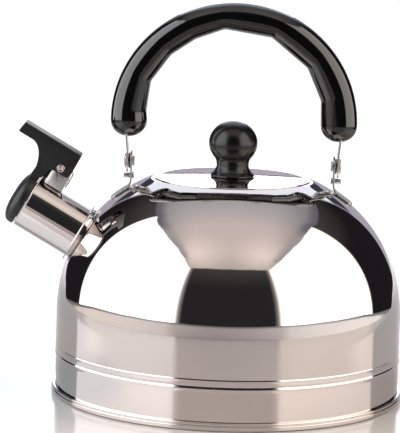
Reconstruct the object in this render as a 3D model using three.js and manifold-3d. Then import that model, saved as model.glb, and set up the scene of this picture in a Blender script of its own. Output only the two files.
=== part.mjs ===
// Whistling kettle: a pressed steel body with a domed top, a lift-off lid, a swinging
// bail handle with a moulded grip, and a short spout closed by a sprung whistle lever.
// Millimetres, +Z up, spout towards -X, origin at the centre of the flat base.
import * as THREE from 'three';
import { mergeVertices } from 'three/addons/utils/BufferGeometryUtils.js';
import Module from 'manifold-3d';

const wasm = await Module();
wasm.setup();

// Fits shared by all pieces
const fit = 0.3; // gap between two pieces that sit on each other, and round a pin
const overrun = 2; // how far a cutting solid runs past the face that it cuts

// Body: a straight wall that turns into a dome, drawn from one sheet
const bodyRadius = 100;
const sheet = 0.6;
const domeStart = 44.7; // height where the straight wall ends
const domeRise = 89.2; // from there to where the closed dome would peak
const domePower = 2.156; // 2 is an ellipse, more is squarer
const beadHeight = 22.8; // middle of the lower of two pressed beads
const beadSpacing = 4.8;
const beadProud = 0.6;
const beadWidth = 2.6;
const mouthRadius = 40; // the filling hole under the lid
const collarDepth = 4; // turned-down neck of the filling hole
const ledgeDrop = 0.6; // how far the lid's ledge lies below the dome

// Base: a flat pan whose edge is rolled round the foot of the body
const panFloor = 0.8;
const seamProud = 2.05;
const seamHeight = 4.6;
const seamRound = 1;
const seamWaist = 0.45; // groove between the two rolls of the seam
const seamChannelFloor = 1.2;

// Lid and what hangs under it
const lidRadius = 45.2;
const lidEdgeGap = 0.8; // open ring between the lid and the dome
const lidCrown = 0.9;
const lidEdge = 0.85; // height of the rolled edge
const skirtDepth = 6.5;
const skirtPlay = 0.7;

// Knob and its fixing
const knobFootRadius = 12.7;
const knobFootHeight = 0.7;
const knobNeckRadius = 9.2;
const knobNeckHeight = 4.6;
const knobThroatRadius = 10.4; // where the neck runs into the ball
const knobRadius = 14.1;
const knobHalfHeight = 12.8;
const knobCentreHeight = 19.1;
const knobFlareShares = [[0.42, 0.14], [0.12, 0.42]]; // from foot to neck: across, up
const insertRadius = 4;
const insertLength = 10.5;
const knobScrewRadius = 2;
const knobScrewLength = 9; // from the seat of the knob up into the insert
const knobScrewHeadRadius = 4;
const knobScrewHeadHeight = 2.3;
const knobScrewHeadShares = [3 / 4, 1 / 3]; // its flat's radius and its rounding's height
const slotWidth = 1;
const slotDepth = 1;
const knobWasherRadius = 6.5;
const knobWasherThickness = 0.8;

// Handle pivots: ear, washer, strap and rivet stacked along X on each side
const earInnerX = 58;
const earThickness = 1;
const earHalfWidth = 6;
const earBendBelowPivot = 11;
const earSplay = 2.2; // how far the ear curves out between its bend and its foot
const earFootReach = 9;
const earFootHalfWidth = 7;
const earFootThickness = 1.25;
const pivotAboveDome = 14.5;
const washerRadius = 4.4;
const washerThickness = 0.7;
const strapThickness = 1;
const strapHalfWidth = 6.6;
const strapBendAbovePivot = 6.8;
const strapEndOutset = 0.6; // from the middle of the grip's end to the strap's inner face
const rivetRadius = 1.9;
const rivetHeadRadius = 4.4;
const rivetHeadHeight = 1.3;
const rivetDomeShares = [[0.9, 0.45], [0.55, 0.85]]; // of the head's radius and height
const rivetTailRadius = 3;
const rivetTailHeight = 1.1;
const stopBelowPivot = 8.6;
const stopRadius = 1.5;
const stopShankRadius = 1.1;
const stopProud = 3.6;
const stopTailRadius = 1.9;
const stopTailHeight = 0.8;

// Grip: a round bar bent to a half ring, scooped by flat finger facets inside
const gripCentreAbovePivot = 23.6;
const gripHalfWidth = 71.1;
const gripRise = 69.7;
const gripThickness = 21.2; // at its two ends
const gripDepth = 22;
const gripSquareness = 2.3; // 2 is a round section
const gripEndHeight = 9.5;
const scoopDepth = 4.3;
// Each facet corner: its place round the half ring and its depth, right end first
const fingerFacetShares = [[0, 0], [0.025, 0], [0.09, 0.37], [0.214, 0.65], [0.377, 0.88],
  [0.539, 1], [0.644, 0.72], [0.744, 0.77], [0.858, 0.79], [0.964, 0.19], [1, 0]];
const strapSlotDepth = 17;
const strapScrewRadius = 1.25;
const strapScrewHeadRadius = 2.5;
const strapScrewHeadHeight = 1.5;
const strapScrewHeadShares = [0.7, 0.5]; // its flat's radius and its rounding's height
const strapScrewSink = 0.4;
const strapScrewGrip = 3.5; // how far it passes beyond the strap

// Spout: a short tube on a flange, leaning up from the dome
const spoutElevation = Math.PI / 6;
const flangeBelowEar = 5; // from the end of the ear's foot down to the top of the flange
const spoutRadius = 15.65;
const spoutLength = 35.2;
const spoutRootDepth = 3; // how far the tube passes inside the body
const flangeRadius = 18.3;
const flangeThickness = 0.7;
const seatErrorShare = 0.01; // of a fit, how closely the flange's seat is found

// Lever hinge: measured from the mouth of the spout and from the top of its tube
const pinBehindMouth = 6.5;
const pinAboveTube = 11.8;
const pinRadius = 1.2;
const pinHeadRadius = 2.3;
const pinHeadHeight = 0.75;
const pinHollowRadius = 0.7;
const pinHollowDepth = 1.6;
const bracketHalfWidth = 4.8;
const bracketSheet = 0.8;
const bracketFront = 6.2; // from the pin to the closed front
const bracketBack = 7.4;
const bracketChamfer = 3.2;
const bracketFrontHalfWidth = 3;
const bracketShoulder = 3; // cheek edge below the pin, at the front
const bracketToe = 5; // top of the closed front below the pin
const bracketEye = 3.5;

// Torsion spring round the hinge pin
const wireDiameter = 0.8;
const coilRadius = 2.2;
const coilPitch = 1.35;
const coilTurns = 2.75;
const coilSteps = 8; // per turn
const wireSides = 5;
const springArm = 7.2; // straight arm under the thumb bar
const springHeel = 0.75; // how far the back arm stands behind the bracket
const springFootTurns = 3; // wire diameters between the tube and the back arm's end
// The bend from the back arm over the pin: shares of the coil's radius and of the reach back
const springBendShares = [[-0.4, 1], [0.55, 0.92], [0.95, 0.72], [1, 0.4]];

// Whistle lever: a thumb bar, two cheeks and a domed cap, moulded in one
const leverHalfWidth = 7;
const cheekThickness = 1.8;
const leverTop = 12.4; // top of the thumb bar above the pin
const leverTip = 31;
const leverTipThickness = 6.6;
const leverTipLean = 1;
const leverHeel = 6.6;
const barThickness = 3.8;
const neckHollow = 7; // from the pin to the inner face of the neck
const neckFront = 12.9;
const cheekDrop = 3.3;
const cheekToeDrop = 10.8;
const capRadius = 15.9;
const capThickness = 8.2;
const capSquareness = 2.6;
const capRootDepth = 12; // how far the neck runs down inside the cap
const capOutletRadius = 2.6;
const capStraightShare = 0.2; // of the cap's thickness, before it rounds off
// Outline of the neck's outer side and of the cheek's lower edge, as shares of what they follow
const neckTopShares = [0.85, 0.6];
const neckBendShares = [0.1, 0.15];
const neckEndShare = 0.6;
const cheekFrontShares = [[1.5, 0.87], [1, 0.6]];
const cheekHeelShares = [0.9, 1.05];

// Whistle: two thin plates with a small hole each, a few millimetres apart
const whistleBrimRadius = 15.3;
const whistleSheet = 0.5;
const whistleCupRadius = 11.6;
const whistleCupDepth = 5.2;
const whistleHoleRadius = 1.6;
const whistleDiscInset = 0.6;

// Facet counts
const bodyFacets = 48;
const domeSteps = 10;
const ringFacets = 40;
const tubeFacets = 32;
const knobFacets = 28;
const smallFacets = 16;
const gripSides = 14;
const gripStep = Math.PI / 18;
const gripEndSteps = 4;
const knobBallSteps = 9;
const capSteps = 5;
const curveSteps = 7;
const hair = 1e-9; // lets a share count as equal to the one that it was worked out from

// Finishes
const steel = () => new THREE.MeshStandardMaterial({ color: '#cfcbc8', roughness: 0.08, metalness: 1 });
const dullSteel = () => new THREE.MeshStandardMaterial({ color: '#a9a8a6', roughness: 0.3, metalness: 1 });
const brass = () => new THREE.MeshStandardMaterial({ color: '#c9a45c', roughness: 0.3, metalness: 1 });
const bakelite = () => new THREE.MeshStandardMaterial({ color: '#141415', roughness: 0.12, metalness: 0 });
const plastic = () => new THREE.MeshStandardMaterial({ color: '#1b1c1e', roughness: 0.35, metalness: 0 });

// Places on the dome
const domeRadiusAt = (height, skin = 0) => {
  const share = Math.max(height - domeStart, 0) / (domeRise - skin);
  return (bodyRadius - skin) * (1 - share ** domePower) ** (1 / domePower);
};
const domeHeightAt = (radius, skin = 0) => {
  const share = radius / (bodyRadius - skin);
  return domeStart + (domeRise - skin) * (1 - share ** domePower) ** (1 / domePower);
};
const insideDome = (point) => {
  const radius = Math.hypot(point.x, point.y);
  return radius < bodyRadius && point.z < domeHeightAt(radius);
};

// Geometry helpers
function cleaned(geometry) {
  geometry.deleteAttribute('normal');
  geometry.deleteAttribute('uv');
  const merged = mergeVertices(geometry);
  const kept = [];
  const index = merged.index.array;
  for (let i = 0; i < index.length; i += 3) {
    const [a, b, c] = [index[i], index[i + 1], index[i + 2]];
    if (a !== b && b !== c && c !== a) kept.push(a, b, c);
  }
  merged.setIndex(kept);
  return merged;
}

function solid(geometry) {
  const mesh = cleaned(geometry);
  return new wasm.Manifold(new wasm.Mesh({
    numProp: 3,
    vertProperties: new Float32Array(mesh.attributes.position.array),
    triVerts: new Uint32Array(mesh.index.array),
  }));
}

function geometryOf(manifold) {
  const mesh = manifold.getMesh();
  const geometry = new THREE.BufferGeometry();
  geometry.setAttribute('position', new THREE.BufferAttribute(new Float32Array(mesh.vertProperties), 3));
  geometry.setIndex(Array.from(mesh.triVerts));
  return geometry;
}

const joined = (...geometries) => geometryOf(
  geometries.map(solid).reduce((whole, next) => whole.add(next)),
);
const cut = (geometry, ...tools) => geometryOf(
  tools.map(solid).reduce((whole, tool) => whole.subtract(tool), solid(geometry)),
);
const common = (a, b) => geometryOf(solid(a).intersect(solid(b)));

// A profile of [radius, height] pairs turned about Z, its outer side running upwards
function turned(profile, facets) {
  const points = profile.map(([radius, height]) => new THREE.Vector2(radius, height));
  return cleaned(new THREE.LatheGeometry(points, facets).rotateX(Math.PI / 2));
}

const ring = (inner, outer, low, high, facets) => turned(
  [[inner, low], [outer, low], [outer, high], [inner, high], [inner, low]], facets,
);
const rod = (radius, low, high, facets) => turned(
  [[0, low], [radius, low], [radius, high], [0, high]], facets,
);
const alongX = (geometry) => geometry.rotateY(Math.PI / 2);
const alongY = (geometry) => geometry.rotateX(-Math.PI / 2);

// An outline in X and Z given its width along Y, centred on Y = 0
function plateInXZ(outline, width) {
  const shape = outline instanceof THREE.Shape ? outline : shapeOf(outline);
  const geometry = new THREE.ExtrudeGeometry(shape, {
    depth: width, bevelEnabled: false, curveSegments: curveSteps,
  });
  return cleaned(geometry.rotateX(Math.PI / 2).translate(0, width / 2, 0));
}

// An outline in Y and Z given its thickness along X, from X = 0
function plateInYZ(shape, thickness) {
  const geometry = new THREE.ExtrudeGeometry(shape, {
    depth: thickness, bevelEnabled: false, curveSegments: curveSteps,
  });
  const turn = new THREE.Matrix4().makeBasis(
    new THREE.Vector3(0, 1, 0), new THREE.Vector3(0, 0, 1), new THREE.Vector3(1, 0, 0),
  );
  return cleaned(geometry.applyMatrix4(turn));
}

const shapeOf = (outline) => new THREE.Shape(outline.map(([a, b]) => new THREE.Vector2(a, b)));

function box(low, high) {
  const size = high.map((value, i) => value - low[i]);
  const middle = high.map((value, i) => (value + low[i]) / 2);
  return new THREE.BoxGeometry(...size).translate(...middle);
}

// A closed skin over rings of points, with a fan over each end
function lofted(rings) {
  const sides = rings[0].length;
  const points = rings.flat();
  const index = [];
  for (let i = 0; i < rings.length - 1; i += 1) {
    for (let k = 0; k < sides; k += 1) {
      const next = (k + 1) % sides;
      const [a, b] = [i * sides + k, i * sides + next];
      const [c, d] = [a + sides, b + sides];
      index.push(a, b, c, b, d, c);
    }
  }
  const last = (rings.length - 1) * sides;
  for (let k = 1; k < sides - 1; k += 1) {
    index.push(0, k + 1, k, last, last + k, last + k + 1);
  }
  const geometry = new THREE.BufferGeometry().setFromPoints(points);
  geometry.setIndex(index);
  return outward(geometry);
}

// Turns a closed skin right side out, by the sign of the volume that it holds
function outward(geometry) {
  const position = geometry.attributes.position;
  const index = Array.from(geometry.index.array);
  const corner = (i) => new THREE.Vector3().fromBufferAttribute(position, index[i]);
  let volume = 0;
  for (let i = 0; i < index.length; i += 3) {
    volume += corner(i).dot(corner(i + 1).cross(corner(i + 2)));
  }
  if (volume < 0) index.reverse();
  geometry.setIndex(index);
  return geometry;
}

function piece(name, geometry, material) {
  const mesh = new THREE.Mesh(geometry, material);
  mesh.name = name;
  return mesh;
}

// Body shell
const ledgeRadius = lidRadius + lidEdgeGap;
const ledgeHeight = domeHeightAt(ledgeRadius) - ledgeDrop;

function domeCurve(skin, lastRadius) {
  const radius = bodyRadius - skin;
  const last = Math.acos((lastRadius / radius) ** (domePower / 2));
  const points = [];
  for (let i = 0; i <= domeSteps; i += 1) {
    const angle = last * i / domeSteps;
    points.push([
      radius * Math.cos(angle) ** (2 / domePower),
      domeStart + (domeRise - skin) * Math.sin(angle) ** (2 / domePower),
    ]);
  }
  return points;
}

const bead = (height) => [
  [bodyRadius, height - beadWidth / 2],
  [bodyRadius + beadProud, height],
  [bodyRadius, height + beadWidth / 2],
];

function bodyShell() {
  const foot = seamChannelFloor + fit;
  const inner = bodyRadius - sheet;
  const underLedge = ledgeHeight - sheet;
  const profile = [
    [inner, foot],
    [bodyRadius, foot],
    ...bead(beadHeight),
    ...bead(beadHeight + beadSpacing),
    ...domeCurve(0, ledgeRadius),
    [ledgeRadius, ledgeHeight],
    [mouthRadius, ledgeHeight],
    [mouthRadius, ledgeHeight - collarDepth],
    [mouthRadius + sheet, ledgeHeight - collarDepth],
    [mouthRadius + sheet, underLedge],
    ...domeCurve(sheet, domeRadiusAt(underLedge, sheet)).reverse(),
    [inner, foot],
  ];
  const hole = rod(spoutRadius + fit, -flangeRadius, flangeRadius, tubeFacets);
  hole.rotateY(spoutTurn).translate(...spoutRoot);
  return cut(turned(profile, bodyFacets), hole);
}

function basePan() {
  const seam = bodyRadius + seamProud;
  const rollHeight = (seamHeight + seamRound) / 2;
  const channelOuter = bodyRadius + fit;
  const channelInner = bodyRadius - sheet - fit;
  return turned([
    [0, 0],
    [seam - seamRound, 0],
    [seam, seamRound],
    [seam, rollHeight - seamWaist / 2],
    [seam - seamWaist, rollHeight],
    [seam - seamWaist / 2, rollHeight + seamWaist],
    [seam - seamRound, seamHeight],
    [channelOuter, seamHeight],
    [channelOuter, seamChannelFloor],
    [channelInner, seamChannelFloor],
    [channelInner, seamHeight],
    [channelInner - sheet, seamHeight],
    [channelInner - sheet, panFloor],
    [0, panFloor],
  ], bodyFacets);
}

// Lid, its skirt, its knob and the knob's fixing
const lidSeat = ledgeHeight + fit;
const lidUnderAt = (radius) => lidSeat + lidCrown * (1 - (radius / lidRadius) ** 2);
const lidTopAt = (radius) => lidUnderAt(radius) + sheet;
const knobSeat = lidTopAt(0) + fit;
const lidRadiusShares = [0.3, 0.6, 0.85];
const edgeRollShare = 0.3; // how far the rolled edge's corners are rounded

function lidShell() {
  const holeRadius = knobScrewRadius + fit;
  const roll = lidEdge * edgeRollShare;
  const radii = lidRadiusShares.map((share) => share * lidRadius);
  return turned([
    [holeRadius, lidUnderAt(holeRadius)],
    ...radii.map((radius) => [radius, lidUnderAt(radius)]),
    [lidRadius - roll, lidSeat],
    [lidRadius, lidSeat + roll],
    [lidRadius, lidSeat + lidEdge - roll],
    [lidRadius - roll, lidSeat + lidEdge],
    [lidRadius - lidEdge, lidSeat + lidEdge],
    ...radii.reverse().map((radius) => [radius, lidTopAt(radius)]),
    [holeRadius, lidTopAt(holeRadius)],
    [holeRadius, lidUnderAt(holeRadius)],
  ], ringFacets);
}

function lidSkirt() {
  const outer = mouthRadius - skirtPlay;
  return ring(outer - sheet, outer, ledgeHeight - skirtDepth, ledgeHeight, ringFacets);
}

function lidKnob() {
  const pocketRadius = insertRadius + fit;
  const pocketTop = knobSeat + insertLength + fit * 2;
  const centre = knobSeat + knobCentreHeight;
  const start = -Math.acos(knobThroatRadius / knobRadius);
  const profile = [
    [0, pocketTop],
    [pocketRadius, pocketTop],
    [pocketRadius, knobSeat],
    [knobFootRadius, knobSeat],
    [knobFootRadius, knobSeat + knobFootHeight],
    ...knobFlareShares.map(([across, up]) => [
      knobNeckRadius + (knobFootRadius - knobNeckRadius) * across,
      knobSeat + knobFootHeight + (knobNeckHeight - knobFootHeight) * up,
    ]),
    [knobNeckRadius, knobSeat + knobNeckHeight],
  ];
  for (let i = 0; i <= knobBallSteps; i += 1) {
    const angle = start + (Math.PI / 2 - start) * i / knobBallSteps;
    const radius = i < knobBallSteps ? knobRadius * Math.cos(angle) : 0;
    profile.push([radius, centre + knobHalfHeight * Math.sin(angle)]);
  }
  return turned(profile, knobFacets);
}

function knobInsert() {
  const low = knobSeat + fit;
  return ring(knobScrewRadius + fit, insertRadius, low, low + insertLength, smallFacets);
}

const knobWasherTop = lidUnderAt(0) - fit;
const knobWasherLow = knobWasherTop - knobWasherThickness;

function knobScrew() {
  const headTop = knobWasherLow - fit;
  const headLow = headTop - knobScrewHeadHeight;
  const blank = turned([
    [0, headLow],
    [knobScrewHeadRadius * knobScrewHeadShares[0], headLow],
    [knobScrewHeadRadius, headLow + knobScrewHeadHeight * knobScrewHeadShares[1]],
    [knobScrewHeadRadius, headTop],
    [knobScrewRadius, headTop],
    [knobScrewRadius, knobSeat + knobScrewLength],
    [0, knobSeat + knobScrewLength],
  ], smallFacets);
  const slot = box(
    [-knobScrewHeadRadius - overrun, -slotWidth / 2, headLow - overrun],
    [knobScrewHeadRadius + overrun, slotWidth / 2, headLow + slotDepth],
  );
  return cut(blank, slot);
}

function knobWasher() {
  return ring(knobScrewRadius + fit, knobWasherRadius, knobWasherLow, knobWasherTop, smallFacets);
}

// Handle pivot on the right; the left one is the same, turned half round
const pivotHeight = domeHeightAt(earInnerX) + pivotAboveDome;
const earOuterX = earInnerX + earThickness;
const washerX = earOuterX + fit;
const strapX = washerX + washerThickness + fit;
const strapOuterX = strapX + strapThickness;
const strapEndX = gripHalfWidth - gripThickness / 2 + strapEndOutset;
const strapEndOuterX = strapEndX + strapThickness;
const earFootX = earInnerX + earSplay;
const earFootEnd = earFootX + earFootReach;

// A plate in Y and Z with a round end about the pivot, straight sides and a square end
function roundEndedPlate(halfWidth, squareEnd, thickness) {
  const shape = new THREE.Shape();
  const towards = Math.sign(squareEnd);
  shape.moveTo(halfWidth, 0);
  shape.lineTo(halfWidth, squareEnd);
  shape.lineTo(-halfWidth, squareEnd);
  shape.lineTo(-halfWidth, 0);
  shape.absarc(0, 0, halfWidth, Math.PI, 0, towards < 0);
  return plateInYZ(shape, thickness).translate(0, 0, pivotHeight);
}

// The same plate, bent so that its inner face follows a line of [x, z] points
function bentPlate(line, halfWidth, squareEnd, thickness) {
  const places = line.map(([x]) => x);
  const low = Math.min(...places) - overrun;
  const high = Math.max(...places) + thickness + overrun;
  const side = [...line, ...line.map(([x, z]) => [x + thickness, z]).reverse()];
  return common(
    plateInXZ(side, 2 * halfWidth + overrun),
    roundEndedPlate(halfWidth, squareEnd, high - low).translate(low, 0, 0),
  );
}

const crossHole = (radius, height, reach) => alongX(
  rod(radius, 0, reach + overrun, smallFacets),
).translate(0, 0, height);

function ear() {
  const bottom = domeHeightAt(earFootX) + sheet;
  const bend = pivotHeight - earBendBelowPivot;
  const line = [[earInnerX, pivotHeight + earHalfWidth + overrun]];
  for (let i = 0; i <= curveSteps; i += 1) {
    const share = i / curveSteps;
    line.push([earInnerX + earSplay * share ** 2, bend + (bottom - bend) * share]);
  }
  const upright = bentPlate(line, earHalfWidth, bottom - pivotHeight, earThickness);
  const under = [];
  const over = [];
  for (let i = 0; i <= curveSteps; i += 1) {
    const x = earFootX + earFootReach * i / curveSteps;
    under.push([x, domeHeightAt(x) + fit]);
    over.unshift([x, domeHeightAt(x) + fit + earFootThickness]);
  }
  const foot = plateInXZ([...under, ...over], 2 * earFootHalfWidth);
  return cut(
    joined(upright, foot),
    crossHole(rivetRadius + fit, pivotHeight, earOuterX),
    crossHole(stopShankRadius + fit, pivotHeight - stopBelowPivot, earOuterX),
  );
}

function pivotWasher() {
  return alongX(ring(rivetRadius + fit, washerRadius, washerX, washerX + washerThickness, smallFacets))
    .translate(0, 0, pivotHeight);
}

function pivotRivet() {
  const tail = earInnerX - fit;
  const head = strapOuterX + fit;
  return alongX(turned([
    [0, tail - rivetTailHeight],
    [rivetTailRadius, tail - rivetTailHeight],
    [rivetTailRadius, tail],
    [rivetRadius, tail],
    [rivetRadius, head],
    [rivetHeadRadius, head],
    ...rivetDomeShares.map(([across, up]) => [rivetHeadRadius * across, head + rivetHeadHeight * up]),
    [0, head + rivetHeadHeight],
  ], smallFacets)).translate(0, 0, pivotHeight);
}

function stopPin() {
  const tail = earInnerX - fit;
  const drum = earOuterX + fit;
  return alongX(turned([
    [0, tail - stopTailHeight],
    [stopTailRadius, tail - stopTailHeight],
    [stopTailRadius, tail],
    [stopShankRadius, tail],
    [stopShankRadius, drum],
    [stopRadius, drum],
    [stopRadius, drum + stopProud],
    [0, drum + stopProud],
  ], smallFacets)).translate(0, 0, pivotHeight - stopBelowPivot);
}

// Grip, straps and strap screws
const gripCentre = pivotHeight + gripCentreAbovePivot;
const gripBottom = gripCentre - gripEndHeight;
const gripEndInner = gripHalfWidth - gripThickness;
const strapTop = gripBottom + strapSlotDepth;

function gripOuterAt(angle) {
  const across = gripRise * Math.cos(angle);
  const up = gripHalfWidth * Math.sin(angle);
  return gripHalfWidth * gripRise / Math.hypot(across, up);
}

// Each facet is straight, so its radius follows the chord between its two corners
function gripInnerAt(angle) {
  const share = angle / Math.PI;
  const corner = (k) => [
    fingerFacetShares[k][0] * Math.PI,
    gripEndInner + scoopDepth * fingerFacetShares[k][1],
  ];
  const next = fingerFacetShares.findIndex(([place], k) => k > 0 && place >= share - hair);
  const [a, ra] = corner(next - 1);
  const [b, rb] = corner(next);
  return ra * rb * Math.sin(b - a) / (ra * Math.sin(angle - a) + rb * Math.sin(b - angle));
}

function gripRing(angle, drop, scale) {
  const outer = gripOuterAt(angle);
  const inner = gripInnerAt(angle);
  const middle = (outer + inner) / 2;
  const points = [];
  for (let k = 0; k < gripSides; k += 1) {
    const turn = 2 * Math.PI * (k + 0.5) / gripSides;
    const [c, s] = [Math.cos(turn), Math.sin(turn)];
    const radial = Math.sign(c) * Math.abs(c) ** (2 / gripSquareness) * (outer - inner) / 2;
    const depth = Math.sign(s) * Math.abs(s) ** (2 / gripSquareness) * gripDepth / 2;
    const radius = middle + radial * scale;
    points.push(new THREE.Vector3(
      radius * Math.cos(angle), depth * scale, gripCentre + radius * Math.sin(angle) - drop,
    ));
  }
  return points;
}

function handleGrip() {
  const rings = [];
  const endRing = (angle, i) => {
    const turn = Math.PI / 2 * i / (gripEndSteps + 0.5);
    rings.push(gripRing(angle, gripEndHeight * Math.sin(turn), Math.cos(turn)));
  };
  for (let i = gripEndSteps; i > 0; i -= 1) endRing(0, i);
  rings.push(gripRing(0, 0, 1));
  for (let k = 1; k < fingerFacetShares.length; k += 1) {
    const from = fingerFacetShares[k - 1][0] * Math.PI;
    const to = fingerFacetShares[k][0] * Math.PI;
    const steps = Math.ceil((to - from) / gripStep);
    for (let i = 1; i <= steps; i += 1) rings.push(gripRing(from + (to - from) * i / steps, 0, 1));
  }
  for (let i = 1; i <= gripEndSteps; i += 1) endRing(Math.PI, i);
  const holes = [1, -1].flatMap((side) => {
    const slot = box(
      [strapEndX - fit, -strapHalfWidth - fit, gripBottom - overrun],
      [strapEndOuterX + fit, strapHalfWidth + fit, strapTop + fit],
    );
    const shank = rod(strapScrewRadius + fit, 0, strapEndOuterX + strapScrewGrip + fit, smallFacets);
    const sink = rod(strapScrewHeadRadius + fit, 0, strapScrewSeat + fit, smallFacets);
    const turn = side > 0 ? 0 : Math.PI;
    return [slot, alongX(shank).translate(0, 0, gripCentre), alongX(sink).translate(0, 0, gripCentre)]
      .map((tool) => tool.rotateZ(turn));
  });
  return cut(lofted(rings), ...holes);
}

const strapScrewSeat = gripEndInner + strapScrewSink + strapScrewHeadHeight;

function strap() {
  const line = [
    [strapX, pivotHeight - strapHalfWidth - overrun],
    [strapX, pivotHeight + strapBendAbovePivot],
    [strapEndX, gripBottom],
    [strapEndX, strapTop + overrun],
  ];
  return cut(
    bentPlate(line, strapHalfWidth, strapTop - pivotHeight, strapThickness),
    crossHole(rivetRadius + fit, pivotHeight, strapOuterX),
    crossHole(strapScrewRadius + fit, gripCentre, strapEndOuterX),
  );
}

function strapScrew() {
  const face = gripEndInner + strapScrewSink;
  return alongX(turned([
    [0, face],
    [strapScrewHeadRadius * strapScrewHeadShares[0], face],
    [strapScrewHeadRadius, face + strapScrewHeadHeight * strapScrewHeadShares[1]],
    [strapScrewHeadRadius, strapScrewSeat],
    [strapScrewRadius, strapScrewSeat],
    [strapScrewRadius, strapEndOuterX + strapScrewGrip],
    [0, strapEndOuterX + strapScrewGrip],
  ], smallFacets)).translate(0, 0, gripCentre);
}

// Spout. Its own frame has Z along the tube and X square to it, upwards
const spoutTurn = spoutElevation - Math.PI / 2;
const flangeTop = domeHeightAt(earFootEnd) - flangeBelowEar;
const spoutRootHeight = flangeTop - flangeRadius * Math.cos(spoutElevation);
const spoutRoot = [-domeRadiusAt(spoutRootHeight), 0, spoutRootHeight];
const toBody = (x, y, z) => new THREE.Vector3(x, y, z)
  .applyAxisAngle(new THREE.Vector3(0, 1, 0), spoutTurn)
  .add(new THREE.Vector3(...spoutRoot));

// The lowest place along the tube where a ring of this radius clears the dome
function seatOnDome(radius) {
  let highest = -bodyRadius;
  for (let k = 0; k < tubeFacets; k += 1) {
    const turn = 2 * Math.PI * k / tubeFacets;
    let [low, high] = [-radius, radius];
    while (high - low > fit * seatErrorShare) {
      const middle = (low + high) / 2;
      const inside = insideDome(toBody(radius * Math.cos(turn), radius * Math.sin(turn), middle));
      if (inside) low = middle; else high = middle;
    }
    highest = Math.max(highest, high);
  }
  return highest;
}

function spoutTube() {
  const bore = spoutRadius - sheet;
  const flangeLow = seatOnDome(spoutRadius + fit) + fit;
  return turned([
    [bore, -spoutRootDepth],
    [spoutRadius, -spoutRootDepth],
    [spoutRadius, flangeLow],
    [flangeRadius, flangeLow],
    [flangeRadius, flangeLow + flangeThickness],
    [spoutRadius, flangeLow + flangeThickness],
    [spoutRadius, spoutLength],
    [bore, spoutLength],
    [bore, -spoutRootDepth],
  ], tubeFacets);
}

// Hinge on the spout. Its frame has its origin on the pin: X up, Z towards the mouth
const pinHeight = spoutRadius + pinAboveTube;
const pinPlace = spoutLength - pinBehindMouth;
const tubeTop = -pinAboveTube;
const cheekX = leverHalfWidth;

function hingeBracket() {
  const plan = (half, front, frontHalf, back, chamfer) => [
    [-back, half], [front - chamfer, half], [front, frontHalf],
    [front, -frontHalf], [front - chamfer, -half], [-back, -half],
  ];
  const outer = plan(bracketHalfWidth, bracketFront, bracketFrontHalfWidth, bracketBack, bracketChamfer);
  const inner = plan(
    bracketHalfWidth - bracketSheet, bracketFront - bracketSheet,
    bracketFrontHalfWidth - bracketSheet / 2, bracketBack + overrun, bracketChamfer,
  );
  const floor = tubeTop + fit + bracketSheet;
  const low = -pinHeight;
  const upright = (outline, from, to) => {
    const shape = shapeOf(outline.map(([along, across]) => [-along, across]));
    const geometry = new THREE.ExtrudeGeometry(shape, { depth: to - from, bevelEnabled: false });
    return cleaned(geometry.rotateY(Math.PI / 2).translate(from, 0, 0));
  };
  const channel = cut(
    upright(outer, low, bracketEye),
    upright(inner, floor, bracketEye + overrun),
    rod(spoutRadius + fit, -bracketBack - overrun, bracketFront + overrun, bodyFacets)
      .translate(-pinHeight, 0, 0),
  );
  const reach = bracketHalfWidth + overrun;
  const profile = plateInXZ([
    [low / 2, -bracketBack - overrun],
    [low / 2, bracketFront + overrun],
    [-bracketToe, bracketFront + overrun],
    [-bracketToe, bracketFront],
    [-bracketShoulder, bracketFront - bracketChamfer],
    [bracketEye / 2, bracketEye],
    [bracketEye, bracketEye / 2],
    [bracketEye, -bracketEye / 2],
    [bracketEye / 2, -bracketEye],
    [-bracketShoulder, -bracketBack],
    [-bracketShoulder, -bracketBack - overrun],
  ], 2 * reach);
  const hole = alongY(rod(pinRadius + fit, -reach, reach, smallFacets));
  return cut(common(channel, profile), hole);
}

function hingePin() {
  const half = cheekX + fit;
  const end = half + pinHeadHeight;
  const hollow = end - pinHollowDepth;
  return alongY(turned([
    [0, -hollow],
    [pinHollowRadius, -hollow],
    [pinHollowRadius, -end],
    [pinHeadRadius, -end],
    [pinHeadRadius, -half],
    [pinRadius, -half],
    [pinRadius, half],
    [pinHeadRadius, half],
    [pinHeadRadius, end],
    [pinHollowRadius, end],
    [pinHollowRadius, hollow],
    [0, hollow],
  ], smallFacets));
}

// The wire runs up behind the bracket, over the pin, round it and up under the thumb bar
function springRoute() {
  const width = coilPitch * coilTurns;
  const back = bracketBack + springHeel;
  const foot = tubeTop + fit + wireDiameter * springFootTurns;
  const route = [
    [foot, -back],
    [foot + wireDiameter, -back],
    ...springBendShares.map(([up, along]) => [coilRadius * up, -back * along]),
  ].map(([up, along]) => new THREE.Vector3(up, -width / 2, along));
  const steps = Math.round(coilTurns * coilSteps);
  for (let i = 0; i <= steps; i += 1) {
    const turn = 2 * Math.PI * coilTurns * i / steps;
    route.push(new THREE.Vector3(
      coilRadius * Math.cos(turn), width * (i / steps - 0.5), coilRadius * Math.sin(turn),
    ));
  }
  route.push(new THREE.Vector3(springArm - wireDiameter, width / 2, -coilRadius));
  route.push(new THREE.Vector3(springArm, width / 2, -coilRadius));
  return route;
}

function leastGap(route, diameter) {
  let least = Infinity;
  for (let i = 0; i < route.length; i += 1) {
    let along = 0;
    for (let j = i + 1; j < route.length; j += 1) {
      along += route[j].distanceTo(route[j - 1]);
      const apart = route[i].distanceTo(route[j]) - diameter;
      if (along > Math.PI * coilRadius) least = Math.min(least, apart);
    }
  }
  return least;
}

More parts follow.
